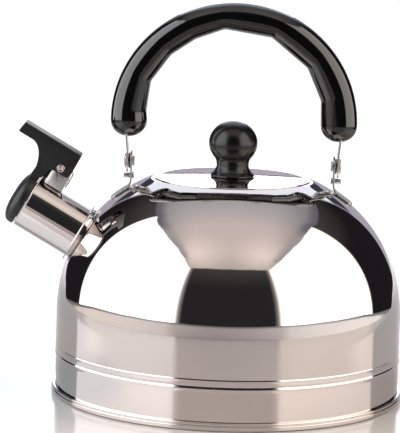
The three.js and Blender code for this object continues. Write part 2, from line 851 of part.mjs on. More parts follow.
function hingeSpring() {
  const route = springRoute();
  let side = new THREE.Vector3(0, 1, 0);
  const rings = route.map((point, i) => {
    const before = route[Math.max(i - 1, 0)];
    const after = route[Math.min(i + 1, route.length - 1)];
    const along = after.clone().sub(before).normalize();
    side = side.clone().addScaledVector(along, -side.dot(along)).normalize();
    const up = along.clone().cross(side);
    return Array.from({ length: wireSides }, (_, k) => {
      const turn = 2 * Math.PI * k / wireSides;
      return point.clone()
        .addScaledVector(side, wireDiameter / 2 * Math.cos(turn))
        .addScaledVector(up, wireDiameter / 2 * Math.sin(turn));
    });
  });
  console.log(`hinge_spring: least gap between turns ${leastGap(route, wireDiameter).toFixed(2)} mm`);
  return lofted(rings);
}

// Lever, drawn in the hinge's frame; the tube's axis lies pinHeight below the pin
const mouthPlace = pinBehindMouth;
const brimPlace = mouthPlace + fit;
const capBack = brimPlace + whistleSheet + fit;
const capFace = capBack + capThickness;

function leverSide() {
  const underTip = leverTop - leverTipThickness;
  const toe = -cheekToeDrop;
  const shape = new THREE.Shape();
  shape.moveTo(leverTop, -leverHeel);
  shape.lineTo(leverTop, leverTip);
  shape.lineTo(underTip, leverTip + leverTipLean);
  shape.lineTo(underTip, (leverTip + neckFront) / 2);
  shape.bezierCurveTo(
    underTip * neckTopShares[0], neckFront + leverTipThickness * neckTopShares[1],
    toe * neckBendShares[0], neckFront + leverTipThickness * neckBendShares[1],
    toe * neckEndShare, neckFront,
  );
  shape.lineTo(toe, neckFront);
  shape.lineTo(toe - capRootDepth, (neckFront + capFace) / 2);
  shape.lineTo(toe - capRootDepth, capBack);
  shape.lineTo(toe, capBack);
  shape.lineTo(toe, mouthPlace);
  for (const [down, along] of cheekFrontShares) {
    shape.lineTo(-cheekDrop * down, mouthPlace * along);
  }
  shape.lineTo(-cheekDrop, -leverHeel * cheekHeelShares[0]);
  shape.lineTo(0, -leverHeel * cheekHeelShares[1]);
  return shape;
}

function leverCap() {
  const profile = [[0, capBack], [capRadius, capBack]];
  const straight = capThickness * capStraightShare;
  for (let i = 0; i <= capSteps; i += 1) {
    const turn = Math.PI / 2 * i / capSteps;
    const radius = i < capSteps ? capRadius * Math.cos(turn) ** (2 / capSquareness) : 0;
    profile.push([radius, capBack + straight
      + (capThickness - straight) * Math.sin(turn) ** (2 / capSquareness)]);
  }
  return turned(profile, tubeFacets).translate(-pinHeight, 0, 0);
}

function whistleLever() {
  const hollow = box(
    [-pinHeight, cheekThickness - leverHalfWidth, -leverHeel - leverTip],
    [leverTop - barThickness, leverHalfWidth - cheekThickness, neckHollow],
  );
  const cavity = rod(whistleCupRadius + fit, 0, brimPlace + whistleCupDepth + fit, tubeFacets)
    .translate(-pinHeight, 0, 0);
  const outlet = rod(capOutletRadius, 0, capFace + overrun, smallFacets).translate(-pinHeight, 0, 0);
  const pinHole = alongY(rod(pinRadius + fit, -cheekX - overrun, cheekX + overrun, smallFacets));
  return cut(
    joined(cut(plateInXZ(leverSide(), 2 * leverHalfWidth), hollow), leverCap()),
    cavity, outlet, pinHole,
  );
}

function whistleCup() {
  const floor = brimPlace + whistleCupDepth;
  const inner = whistleCupRadius - whistleSheet;
  return turned([
    [inner, brimPlace],
    [whistleBrimRadius, brimPlace],
    [whistleBrimRadius, brimPlace + whistleSheet],
    [whistleCupRadius, brimPlace + whistleSheet],
    [whistleCupRadius, floor],
    [whistleHoleRadius, floor],
    [whistleHoleRadius, floor - whistleSheet],
    [inner, floor - whistleSheet],
    [inner, brimPlace],
  ], tubeFacets).translate(-pinHeight, 0, 0);
}

function whistleDisc() {
  const low = brimPlace + whistleDiscInset;
  const outer = whistleCupRadius - whistleSheet - fit;
  return ring(whistleHoleRadius, outer, low, low + whistleSheet, tubeFacets)
    .translate(-pinHeight, 0, 0);
}

// Assembly
const kettle = new THREE.Group();
kettle.add(
  piece('body_shell', bodyShell(), steel()),
  piece('base_pan', basePan(), steel()),
  piece('lid_shell', lidShell(), steel()),
  piece('lid_skirt', lidSkirt(), steel()),
  piece('lid_knob', lidKnob(), bakelite()),
  piece('knob_insert', knobInsert(), brass()),
  piece('knob_screw', knobScrew(), dullSteel()),
  piece('knob_washer', knobWasher(), dullSteel()),
  piece('handle_grip', handleGrip(), bakelite()),
);

for (const [sideName, turn] of [['right', 0], ['left', Math.PI]]) {
  const side = new THREE.Group();
  side.rotation.z = turn;
  side.add(
    piece(`ear_${sideName}`, ear(), dullSteel()),
    piece(`pivot_washer_${sideName}`, pivotWasher(), plastic()),
    piece(`pivot_rivet_${sideName}`, pivotRivet(), dullSteel()),
    piece(`stop_pin_${sideName}`, stopPin(), dullSteel()),
    piece(`strap_${sideName}`, strap(), dullSteel()),
    piece(`strap_screw_${sideName}`, strapScrew(), dullSteel()),
  );
  kettle.add(side);
}

const spout = new THREE.Group();
spout.position.set(...spoutRoot);
spout.rotation.y = spoutTurn;
spout.add(piece('spout_tube', spoutTube(), steel()));

const hinge = new THREE.Group();
hinge.position.set(pinHeight, 0, pinPlace);
hinge.add(
  piece('hinge_bracket', hingeBracket(), dullSteel()),
  piece('hinge_pin', hingePin(), dullSteel()),
  piece('hinge_spring', hingeSpring(), dullSteel()),
  piece('whistle_lever', whistleLever(), plastic()),
  piece('whistle_cup', whistleCup(), steel()),
  piece('whistle_disc', whistleDisc(), steel()),
);
spout.add(hinge);
kettle.add(spout);

export default kettle;
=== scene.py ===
# %% [markdown]
# # Dressing a whistling kettle
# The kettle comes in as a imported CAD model: plain facets, right sizes, one object for each part.
# This lesson builds the smooth, finished form of each part around that frame, in metres, and gives
# each one the material that the real maker would use: buffed stainless steel, rolled sheet, glossy
# phenolic and satin moulded plastic.

# %% The frame
import math

import bmesh
import bpy
import numpy as np
from mathutils import Matrix, Vector


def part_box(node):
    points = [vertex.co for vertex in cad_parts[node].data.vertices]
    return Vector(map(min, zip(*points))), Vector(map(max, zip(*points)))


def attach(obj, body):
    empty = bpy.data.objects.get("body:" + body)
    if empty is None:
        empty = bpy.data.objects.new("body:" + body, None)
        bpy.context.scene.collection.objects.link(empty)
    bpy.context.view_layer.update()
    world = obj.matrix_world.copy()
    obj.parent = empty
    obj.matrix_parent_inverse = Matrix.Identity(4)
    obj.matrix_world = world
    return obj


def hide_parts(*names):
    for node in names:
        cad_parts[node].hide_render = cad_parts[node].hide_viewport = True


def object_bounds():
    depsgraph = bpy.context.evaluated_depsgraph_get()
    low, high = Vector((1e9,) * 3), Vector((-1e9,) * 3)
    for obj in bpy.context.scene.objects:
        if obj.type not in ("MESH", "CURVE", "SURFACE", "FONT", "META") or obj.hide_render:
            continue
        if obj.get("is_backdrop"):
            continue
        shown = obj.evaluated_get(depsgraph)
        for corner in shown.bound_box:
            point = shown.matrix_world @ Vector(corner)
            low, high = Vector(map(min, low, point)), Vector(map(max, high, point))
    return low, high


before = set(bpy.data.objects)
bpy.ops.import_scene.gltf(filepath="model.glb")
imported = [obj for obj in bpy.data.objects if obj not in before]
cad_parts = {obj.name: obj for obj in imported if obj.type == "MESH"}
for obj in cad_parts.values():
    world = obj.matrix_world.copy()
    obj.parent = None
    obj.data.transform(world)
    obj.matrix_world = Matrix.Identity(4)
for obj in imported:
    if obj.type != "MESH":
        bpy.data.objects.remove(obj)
cad_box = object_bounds()

# %% [markdown]
# ## Colours and nodes
# Colours are easiest to pick as sRGB hex codes, but shaders mix light, so they want linear values.
# One function turns the one into the other. A second one adds any node, sets it up and links it,
# which keeps the node trees below short enough to read. Three more fill a colour ramp, start a
# material and put an object into the scene.

# %% Small helpers
MM = 0.001


def linear(code):
    """An sRGB hex code as the linear colour that a shader wants."""
    parts = [int(code[i:i + 2], 16) / 255 for i in (1, 3, 5)]
    return (*[p / 12.92 if p <= 0.04045 else ((p + 0.055) / 1.055) ** 2.4 for p in parts], 1)


def add(tree, kind, inputs=None, **settings):
    """Adds a node. Inputs are values or the sockets of other nodes, by name or by number."""
    made = tree.nodes.new(kind)
    for name, value in settings.items():
        setattr(made, name, value)
    for name, value in (inputs or {}).items():
        if isinstance(value, bpy.types.NodeSocket):
            tree.links.new(value, made.inputs[name])
        else:
            made.inputs[name].default_value = value
    return made


def fill_ramp(ramp, stops):
    """Gives a colour ramp its stops: (place, linear colour) pairs in rising order."""
    elements = ramp.color_ramp.elements
    while len(elements) < len(stops):
        elements.new(0.5)
    for element, (place, colour) in zip(elements, stops):
        element.position = place
        element.color = (*colour[:3], 1)


def shader_tree(name):
    """A new material with an empty node tree."""
    material = bpy.data.materials.new(name)
    material.use_nodes = True
    material.node_tree.nodes.clear()
    return material, material.node_tree


def shown(name, data):
    """A new object with this data, linked to the scene."""
    made = bpy.data.objects.new(name, data)
    bpy.context.collection.objects.link(made)
    return made


print("mid grey #808080 is", round(linear("#808080")[0], 3), "in linear light")

# %% [markdown]
# ## The camera
# The camera stands where the photograph was taken from: well back, a little above the lid, with a
# long lens, so the body's foot shows as a flat ellipse. The picture leans by a degree and a half.
# Its place came from fitting the base rim, the two beads and the side outlines of the body.

# %% Camera
PICTURE_WIDTH, PICTURE_HEIGHT = 400, 433
CAMERA_BACK, CAMERA_HEIGHT = 1.45, 0.33245
AIM = Vector((-0.018, 0, 0.10269))
FOCAL_PIXELS = 2532.2
CAMERA_ROLL = math.radians(1.6)
SENSOR = 36

camera_data = bpy.data.cameras.new("Photo camera")
camera_data.sensor_width = SENSOR
camera_data.lens = FOCAL_PIXELS / max(PICTURE_WIDTH, PICTURE_HEIGHT) * SENSOR
camera = shown("Photo camera", camera_data)
camera.location = (0, -CAMERA_BACK, CAMERA_HEIGHT)
aim = (AIM - camera.location).to_track_quat("-Z", "Y").to_matrix()
camera.rotation_euler = (aim @ Matrix.Rotation(CAMERA_ROLL, 3, "Z")).to_euler()
bpy.context.scene.camera = camera
print("lens", round(camera_data.lens, 1), "mm")

# %% [markdown]
# ## The studio
# A mirror shows its room, so the room is half of the kettle's look. The photograph was taken in a
# box-shaped light tent: a dark panel in front with the lens in it, a bright white cloth on each
# side, black flats behind them, a white backdrop at the rear and a pale ceiling. The tent could be
# built from planes, but a world shader that picks its colour by direction gives the same
# reflections without any noise. Azimuth runs from -180 to 180 degrees with 0 at the camera, and
# each cloth's upper edge has its own height, as the edge of a square room has.

# %% Tent: directions
DEGREES = 180 / math.pi

world = bpy.data.worlds.new("Light tent")
bpy.context.scene.world = world
world.use_nodes = True
tent = world.node_tree
tent.nodes.clear()

ray = add(tent, "ShaderNodeTexCoord").outputs["Generated"]
axes = add(tent, "ShaderNodeSeparateXYZ", {"Vector": ray}).outputs
forward = add(tent, "ShaderNodeMath", {0: axes["Y"], 1: -1.0}, operation="MULTIPLY").outputs[0]
heading = add(tent, "ShaderNodeMath", {0: axes["X"], 1: forward}, operation="ARCTAN2").outputs[0]
azimuth = add(tent, "ShaderNodeMath", {0: heading, 1: DEGREES}, operation="MULTIPLY").outputs[0]
turned_away = add(tent, "ShaderNodeMath", {0: azimuth}, operation="ABSOLUTE").outputs[0]
rise = add(tent, "ShaderNodeMath", {0: axes["Z"]}, operation="ARCSINE").outputs[0]
elevation = add(tent, "ShaderNodeMath", {0: rise, 1: DEGREES}, operation="MULTIPLY").outputs[0]
around = add(tent, "ShaderNodeMapRange", {
    "Value": azimuth, "From Min": -180.0, "From Max": 180.0,
}).outputs[0]


def by_azimuth(pairs, scale):
    """Ramp stops from (azimuth, value) pairs. A ramp holds 0 to 1, so values are scaled down."""
    return [((angle + 180) / 360, np.broadcast_to(value, 4)[:3] / scale)
            for angle, value in pairs]


print("tent directions:", len(tent.nodes), "nodes")

# %% [markdown]
# Each cloth ends at a rear edge that leans back as it rises. Past it stand the black flats, which
# catch a little light from the ceiling higher up, and past those is the backdrop.

# %% Tent: walls
TOP_SCALE, WALL_SCALE = 90, 4
WALL_TOPS = [
    (-180, 60), (-157, 60), (-153, 42), (-140, 47.5), (-124, 53), (-118, 53.5), (-110, 55),
    (-100, 57), (-90, 57.7), (-75, 57.5), (-60, 56), (-45, 51), (-36, 45), (-31, 45.5),
    (-20, 47), (0, 47.8), (20, 47), (31, 45.5), (36, 45), (45, 48.5), (60, 52.5), (75, 54.5),
    (100, 54), (110, 52.3), (119, 50), (123, 47.5), (135, 43.5), (147, 38.5), (153, 36),
    (157, 60), (180, 60),
]  # azimuth and elevation, in degrees
FRONT, FLAT, BACKDROP = (0.025, 0.025, 0.026, 1), (0.015, 0.014, 0.018, 1), (1.12, 1.2, 1.36, 1)
LEFT_CLOTH, RIGHT_CLOTH = (3.0, 2.95, 2.95, 1), (2.6, 2.4, 2.2, 1)
CLOTH_EDGES = (117.5, 111)  # rear edge of the left and the right cloth at their foot
EDGE_LEAN = 0.12  # how far it moves back with each degree of height
EDGE_BLUR, FLAT_END = (-1.0, 1.0), (154.5, 157.0)  # degrees over which flats begin and end
GLOW_HEIGHTS, GLOW = (22.0, 56.0), 0.09  # how the ceiling's light grows up the flats
WALLS = [
    (-180, LEFT_CLOTH), (-36.5, LEFT_CLOTH), (-34, (0.5, 0.5, 0.5, 1)), (-31.5, FRONT),
    (31.5, FRONT), (34, (0.4, 0.39, 0.4, 1)), (36.5, RIGHT_CLOTH), (180, RIGHT_CLOTH),
]

tops = add(tent, "ShaderNodeValToRGB", {"Fac": around})
fill_ramp(tops, by_azimuth(WALL_TOPS, TOP_SCALE))
wall_top = add(tent, "ShaderNodeMath", {0: tops.outputs["Color"], 1: TOP_SCALE},
               operation="MULTIPLY").outputs[0]
walls = add(tent, "ShaderNodeValToRGB", {"Fac": around})
fill_ramp(walls, by_azimuth(WALLS, WALL_SCALE))
wall = add(tent, "ShaderNodeVectorMath", {0: walls.outputs["Color"], "Scale": WALL_SCALE},
           operation="SCALE").outputs["Vector"]
on_right = add(tent, "ShaderNodeMath", {0: azimuth, 1: 0.0}, operation="GREATER_THAN").outputs[0]
edge_at_foot = add(tent, "ShaderNodeMapRange", {
    "Value": on_right, "To Min": CLOTH_EDGES[0], "To Max": CLOTH_EDGES[1],
}).outputs[0]
edge = add(tent, "ShaderNodeMath", {0: elevation, 1: EDGE_LEAN, 2: edge_at_foot},
           operation="MULTIPLY_ADD").outputs[0]
past_edge = add(tent, "ShaderNodeMath", {0: turned_away, 1: edge}, operation="SUBTRACT").outputs[0]
in_flat, past_flat, flat_glow = [
    add(tent, "ShaderNodeMapRange", {
        "Value": value, "From Min": low, "From Max": high, "To Max": most,
    }).outputs[0]
    for value, (low, high), most in (
        (past_edge, EDGE_BLUR, 1.0), (turned_away, FLAT_END, 1.0), (elevation, GLOW_HEIGHTS, GLOW))]
for share, tone in ((in_flat, FLAT), (past_flat, BACKDROP)):
    wall = add(tent, "ShaderNodeMix", {0: share, 6: wall, 7: tone}, data_type="RGBA").outputs[2]
wall = add(tent, "ShaderNodeVectorMath", {0: wall, 1: flat_glow}, operation="MAXIMUM").outputs[0]
print("walls:", len(WALLS), "stops")

# %% [markdown]
# Behind the kettle the tent has three layers: a lavender-grey board standing low on the table, a
# dark slit over it, and the white backdrop, which is lit brightest just above the slit. Board and
# slit grow towards the corners. The polished lid and the rear of the dome show all three.

# %% Tent: rear
BOARD_TONE, SLIT_TONE = (0.46, 0.45, 0.54, 1), (0.05, 0.05, 0.07, 1)
BRIGHT_TONE = (3.3, 3.3, 3.3, 1)
BOARD_TOP, SLIT = 7.0, 0.45
BOARD_RISE = (164.0, 174.0, 15.0, BOARD_TOP)  # azimuth from and to, height there in degrees
SLIT_RISE = (162.0, 174.0, 8.0, SLIT)
BRIGHT_RISE, BRIGHT_SPAN = (9.0, 13.0, 1.0, 0.0), (168.0, 173.0, 0.0, 1.0)

board_top, slit_size = [
    add(tent, "ShaderNodeMapRange", {
        "Value": turned_away, "From Min": low, "From Max": high, "To Min": first, "To Max": last,
    }, interpolation_type="SMOOTHSTEP").outputs[0]
    for low, high, first, last in (BOARD_RISE, SLIT_RISE)]
above_board = add(tent, "ShaderNodeMath", {0: elevation, 1: board_top},
                  operation="SUBTRACT").outputs[0]
low_down, near_middle = [
    add(tent, "ShaderNodeMapRange", {
        "Value": value, "From Min": low, "From Max": high, "To Min": first, "To Max": last,
    }).outputs[0]
    for value, (low, high, first, last) in ((above_board, BRIGHT_RISE), (turned_away, BRIGHT_SPAN))]
in_bright = add(tent, "ShaderNodeMath", {0: low_down, 1: near_middle},
                operation="MULTIPLY").outputs[0]
in_slit, in_board = [
    add(tent, "ShaderNodeMath", {0: top, 1: above_board}, operation="GREATER_THAN").outputs[0]
    for top in (slit_size, 0.0)]
rear = wall
for share, tone in ((in_bright, BRIGHT_TONE), (in_slit, SLIT_TONE), (in_board, BOARD_TONE)):
    rear = add(tent, "ShaderNodeMix", {0: share, 6: rear, 7: tone}, data_type="RGBA").outputs[2]
wall = add(tent, "ShaderNodeMix", {0: past_flat, 6: wall, 7: rear}, data_type="RGBA").outputs[2]
print("slit at", BOARD_TOP, "degrees")

# %% [markdown]
# The ceiling is one large pale cloth, lit unevenly. Where it is seen depends on two slopes, x / z
# and -y / z, which are places on a flat sheet overhead. It is beige towards the front, grey at the
# back, and brightest above the two front corners.

# %% Tent: ceiling
CEILING = [
    (-1.6, (0.38, 0.43, 0.46)), (-0.58, (0.44, 0.47, 0.49)), (-0.2, (0.61, 0.59, 0.61)),
    (0.0, (0.77, 0.68, 0.67)), (0.5, (0.82, 0.73, 0.69)), (0.84, (0.67, 0.61, 0.56)),
    (1.4, (0.53, 0.48, 0.45)),
]
SLOPE_LOW, SLOPE_HIGH = CEILING[0][0], CEILING[-1][0]
BRIGHT_CORNER = (0.48, 0.55, 0.0)
LEAST_HEIGHT = 0.05  # keeps the slopes finite near the horizon
SIDE_FALL, CORNER_POOL = (0.3, 0.75, 1.0, 0.62), (0.0, 0.55, 0.4, 0.0)  # from, to, level there

height = add(tent, "ShaderNodeMath", {0: axes["Z"], 1: LEAST_HEIGHT},
             operation="MAXIMUM").outputs[0]
slopes = add(tent, "ShaderNodeVectorMath", {0: ray, 1: height}, operation="DIVIDE").outputs[0]
sheet_place = add(tent, "ShaderNodeSeparateXYZ", {"Vector": slopes}).outputs
across = add(tent, "ShaderNodeMath", {0: sheet_place["X"]}, operation="ABSOLUTE").outputs[0]
along = add(tent, "ShaderNodeMath", {0: sheet_place["Y"], 1: -1.0}, operation="MULTIPLY").outputs[0]
ahead = add(tent, "ShaderNodeMapRange", {
    "Value": along, "From Min": SLOPE_LOW, "From Max": SLOPE_HIGH,
}).outputs[0]
cloth = add(tent, "ShaderNodeValToRGB", {"Fac": ahead})
fill_ramp(cloth, [((slope - SLOPE_LOW) / (SLOPE_HIGH - SLOPE_LOW), tone)
                  for slope, tone in CEILING])
spot = add(tent, "ShaderNodeCombineXYZ", {"X": across, "Y": along}).outputs[0]
from_corner = add(tent, "ShaderNodeVectorMath", {0: spot, 1: BRIGHT_CORNER},
                  operation="DISTANCE").outputs["Value"]
middle, pool = [
    add(tent, "ShaderNodeMapRange", {
        "Value": value, "From Min": low, "From Max": high, "To Min": first, "To Max": last,
    }, interpolation_type="SMOOTHSTEP").outputs[0]
    for value, (low, high, first, last) in ((across, SIDE_FALL), (from_corner, CORNER_POOL))]
level = add(tent, "ShaderNodeMath", {0: middle, 1: pool}, operation="ADD").outputs[0]
ceiling = add(tent, "ShaderNodeVectorMath", {0: cloth.outputs["Color"], "Scale": level},
              operation="SCALE").outputs["Vector"]
print("ceiling:", len(CEILING), "tones")

# %% [markdown]
# A grey frame runs along the top of the side cloths, darker at the rear corners. The cloths hang
# down to a little below the table, and everything under them is dark.

# %% Tent: edges
CLOTH_FOOT, FOOT_BLUR = -7.2, 0.4
FRAME_START, FRAME_END = (-0.5, 0.8), (1.0, 7.0)  # degrees above the cloth's upper edge
FRONT_END, CORNER_SPAN = (36.0, 46.0), (92.0, 110.0)  # azimuth
FRAME_NEAR, FRAME_FAR = (0.45, 0.45, 0.46, 1), (0.18, 0.175, 0.215, 1)

over = add(tent, "ShaderNodeMath", {0: elevation, 1: wall_top}, operation="SUBTRACT").outputs[0]
to_frame, to_ceiling, off_front, to_corner, above_foot = [
    add(tent, "ShaderNodeMapRange", {"Value": value, "From Min": low, "From Max": high},
        interpolation_type=blend).outputs[0]
    for value, (low, high), blend in (
        (over, FRAME_START, "SMOOTHSTEP"), (over, FRAME_END, "SMOOTHSTEP"),
        (turned_away, FRONT_END, "LINEAR"), (turned_away, CORNER_SPAN, "LINEAR"),
        (elevation, (CLOTH_FOOT - FOOT_BLUR, CLOTH_FOOT + FOOT_BLUR), "LINEAR"))]
frame_tone = add(tent, "ShaderNodeMix", {0: to_corner, 6: FRAME_NEAR, 7: FRAME_FAR},
                 data_type="RGBA").outputs[2]
over_cloth = add(tent, "ShaderNodeMix", {0: off_front, 6: ceiling, 7: frame_tone},
                 data_type="RGBA").outputs[2]
room = wall
for share, tone in ((to_frame, over_cloth), (to_ceiling, ceiling)):
    room = add(tent, "ShaderNodeMix", {0: share, 6: room, 7: tone}, data_type="RGBA").outputs[2]
room = add(tent, "ShaderNodeMix", {0: above_foot, 6: FRONT, 7: room},
           data_type="RGBA").outputs[2]
glow = add(tent, "ShaderNodeBackground", {"Color": room, "Strength": 1.0})
add(tent, "ShaderNodeOutputWorld", {"Surface": glow.outputs[0]})
print("tent:", len(tent.nodes), "nodes")

# %% [markdown]
# ## The floor
# The kettle stands on a sheet of white, slightly glossy acrylic, as small products often do. Its
# colour holds painted shade: a large darker area in front of the kettle and a small cool grey one
# below the spout. The steel reflects the first as its darker middle, and the spout's lower half
# shows the second as its cool grey. Painted shade also greys the sheet round the foot and towards
# the rear corners, and painted light gives its two halves a lighter and a darker tone. It ends in
# front and at the sides in a low upright edge. To the rear it runs on far enough to fill the
# picture with white.

# %% Floor
FLOOR_DROP = 0.0002
RIM_RADIUS, REAR_HALF_WIDTH, REAR_CORNER, FLOOR_REAR = 0.6, 0.67, 0.8, 6.5
RIM_HEIGHTS = [(0, 84), (31, 84), (60, 77), (80, 66), (94, 54), (102, 41), (112, 26), (120, 15),
               (130, 2)]  # azimuth in degrees, millimetres
# painted shade: the sheet is darker in front of the kettle, seen in the steel as its darker middle
FRONT_SHADE_PAINT = (0.385, 0.37, 0.365, 1)
# painted light: one white sheet, its left half given a lighter, cooler tone and its right half a
# darker, warmer one
LEFT_LIGHT_PAINT, RIGHT_LIGHT_PAINT = (0.70, 0.70, 0.715, 1), (0.61, 0.57, 0.52, 1)
# painted shade towards the rear corners, fading into the evenly pale sheet further back
REAR_SIDE_SHADE_PAINT, REAR_PAINT = (0.41, 0.43, 0.44, 1), (0.78, 0.78, 0.78, 1)
# painted shade: greyer round the kettle's foot, and cool grey under the spout
FOOT_SHADE_PAINT, SPOUT_SHADE_PAINT = (0.50, 0.465, 0.45, 1), (0.37, 0.42, 0.435, 1)
SHINE, SHINE_BLUR = (0.19, 0.19, 0.195, 1), 0.13
UNDER_SPOUT = (-0.17, -0.04, 0)
# slopes and places of the lines that bound the painted front shade and the painted rear-corner
# shade
FRONT_SHADE_SPREAD, FRONT_SHADE_START, REAR_SHADE_LEAN, REAR_SHADE_START = 0.6745, -0.0358, 0.4045, -0.0896

pale, sheet = shader_tree("White acrylic sheet")
floor_place = add(sheet, "ShaderNodeTexCoord").outputs["Object"]
spots = add(sheet, "ShaderNodeSeparateXYZ", {"Vector": floor_place}).outputs
aside = add(sheet, "ShaderNodeMath", {0: spots["X"]}, operation="ABSOLUTE").outputs[0]
# the edges of the painted shade in front and of the painted shade towards the rear corners
front_shade_line, rear_shade_line = [
    add(sheet, "ShaderNodeMath", {0: first, 1: slope, 2: second},
        operation="MULTIPLY_ADD").outputs[0]
    for first, slope, second in ((spots["Y"], FRONT_SHADE_SPREAD, aside), (aside, -REAR_SHADE_LEAN, spots["Y"]))]
from_middle, from_spout = [
    add(sheet, "ShaderNodeVectorMath", {0: floor_place, 1: centre},
        operation="DISTANCE").outputs["Value"] for centre in ((0, 0, 0), UNDER_SPOUT)]
off_front_shade, in_rear_shade, right_light_share, paleness, foot_shade_share, under_spout_shade = [
    add(sheet, "ShaderNodeMapRange", {
        "Value": value, "From Min": low, "From Max": high, "To Min": first, "To Max": last,
    }, interpolation_type=blend).outputs[0]
    for value, low, high, first, last, blend in (  # a place in metres, and the share there
        (front_shade_line, FRONT_SHADE_START - 0.012, FRONT_SHADE_START + 0.012, 0.0, 1.0, "LINEAR"),
        (rear_shade_line, REAR_SHADE_START - 0.06, REAR_SHADE_START + 0.006, 0.0, 1.0, "LINEAR"),
        (spots["X"], -0.02, 0.02, 0.0, 1.0, "LINEAR"),
        (spots["Y"], 0.3, 0.95, 0.0, 1.0, "SMOOTHSTEP"),
        (from_middle, 0.16, 0.36, 0.6, 0.0, "SMOOTHSTEP"),
        (from_spout, 0.05, 0.11, 1.0, 0.0, "SMOOTHSTEP"),
    )]
side_light_paint, rear_shade_to_pale = [
    add(sheet, "ShaderNodeMix", {0: share, 6: first, 7: second}, data_type="RGBA").outputs[2]
    for share, first, second in ((right_light_share, LEFT_LIGHT_PAINT, RIGHT_LIGHT_PAINT),
                                 (paleness, REAR_SIDE_SHADE_PAINT, REAR_PAINT))]
# painted light and shade mixed into the sheet's colour: darker in front, greyer at the rear corners
# and round the foot, cool grey under the spout, and a different tone on each half
paint = FRONT_SHADE_PAINT
for share, tone in ((off_front_shade, side_light_paint), (in_rear_shade, rear_shade_to_pale), (foot_shade_share, FOOT_SHADE_PAINT),
                    (under_spout_shade, SPOUT_SHADE_PAINT)):
    paint = add(sheet, "ShaderNodeMix", {0: share, 6: paint, 7: tone}, data_type="RGBA").outputs[2]
matt = add(sheet, "ShaderNodeBsdfDiffuse", {"Color": paint})
shine = add(sheet, "ShaderNodeBsdfGlossy", {"Color": SHINE, "Roughness": SHINE_BLUR})
both = add(sheet, "ShaderNodeAddShader", {0: matt.outputs[0], 1: shine.outputs[0]})
add(sheet, "ShaderNodeOutputMaterial", {"Surface": both.outputs[0]})

rim_angles = np.radians(np.arange(-130, 131, 2))
rim = [(RIM_RADIUS * math.sin(turn), -RIM_RADIUS * math.cos(turn)) for turn in rim_angles]
outline = rim + [(REAR_HALF_WIDTH, REAR_CORNER), (REAR_HALF_WIDTH, FLOOR_REAR),
                 (-REAR_HALF_WIDTH, FLOOR_REAR), (-REAR_HALF_WIDTH, REAR_CORNER)]
floor_mesh = bpy.data.meshes.new("Floor")
floor_mesh.from_pydata([(x, y, -FLOOR_DROP) for x, y in outline], [], [tuple(range(len(outline)))])
floor_mesh.materials.append(pale)
floor = shown("Floor", floor_mesh)
floor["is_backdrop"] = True
print("floor", len(outline), "corners")

# %% [markdown]
# The upright edge has a painted shadow along its top: a darker strip. Its face is painted light and
# shade, lighter or darker round the azimuth, so that it matches the sheet beside it. Its tones are
# kept as a colour attribute, one for each point of the mesh, and its material only reads them.

# %% Floor edge
RIM_SHADOW_STRIP = 14  # height of the strip, in millimetres
# painted light and shade: the face's tone by azimuth, matching it to the sheet beside it
FACE_LIGHT_TONES = [(0, (0.74, 0.70, 0.69)), (32, (0.74, 0.70, 0.69)), (38, (0.93, 0.92, 0.91)),
              (111, (0.90, 0.90, 0.90)), (117, (0.46, 0.48, 0.50)), (130, (0.46, 0.48, 0.50))]
# painted shadow: the darker strip along the top of the edge
STRIP_SHADOW_TONES = [(0, (0.32, 0.31, 0.32)), (32, (0.32, 0.31, 0.32)), (45, (0.42, 0.44, 0.50)),
               (70, (0.33, 0.36, 0.40)), (94, (0.15, 0.17, 0.19)), (130, (0.25, 0.26, 0.27))]


def between(pairs, turn):
    """The value at an azimuth, to either side, from (degrees, value) pairs."""
    places, values = zip(*pairs)
    values = np.array(values, float).reshape(len(pairs), -1)
    return [float(np.interp(abs(turn), places, column)) for column in values.T]


edge_points, edge_light_tones = [], []
for x, y in rim:
    turn = math.degrees(math.atan2(x, -y))
    top = between(RIM_HEIGHTS, turn)[0]
    face, strip = between(FACE_LIGHT_TONES, turn), between(STRIP_SHADOW_TONES, turn)
    for height, tone in ((0, face), (max(top - RIM_SHADOW_STRIP, 0), face),
                         (max(top - RIM_SHADOW_STRIP / 2, 1), strip), (top, strip)):
        edge_points.append((x, y, height * MM - FLOOR_DROP))
        edge_light_tones.append((*tone, 1))
edge_mesh = bpy.data.meshes.new("Floor edge")
edge_mesh.from_pydata(edge_points, [], [
    (4 * i + k, 4 * i + k + 1, 4 * i + k + 5, 4 * i + k + 4)
    for i in range(len(rim) - 1) for k in range(3)])
tones = edge_mesh.color_attributes.new("Painted light tone", "FLOAT_COLOR", "POINT")
for corner, tone in zip(tones.data, edge_light_tones):
    corner.color = tone
# this material shows the painted light and shade kept in the attribute
painted, tree = shader_tree("Painted edge")
tone = add(tree, "ShaderNodeAttribute", attribute_name="Painted light tone").outputs["Color"]
edge_paint = add(tree, "ShaderNodeBsdfDiffuse", {"Color": tone})
add(tree, "ShaderNodeOutputMaterial", {"Surface": edge_paint.outputs[0]})
edge_mesh.materials.append(painted)
floor_edge = shown("Floor edge", edge_mesh)
floor_edge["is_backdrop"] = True
bpy.context.scene.view_settings.view_transform = "Standard"
print("floor edge", len(edge_points), "points")

# %% [markdown]
# ## Steel
# The body, lid and spout are stainless steel, pressed or drawn and then buffed on a mop. Buffing
# leaves a mirror with hair-fine rings round the axis and a very slight haze that comes and goes.
# The material is a full metal of low roughness. A noise stretched into rings drives a faint bump,
# and a second one of a few centimetres varies the roughness. Most finishes here are made so, from
# a fine grain and a broader wear, and one function adds both.

# %% Buffed steel
RING_MM = 0.9  # real buffing rings are finer, but would not show at all
HAZE_MM = 35


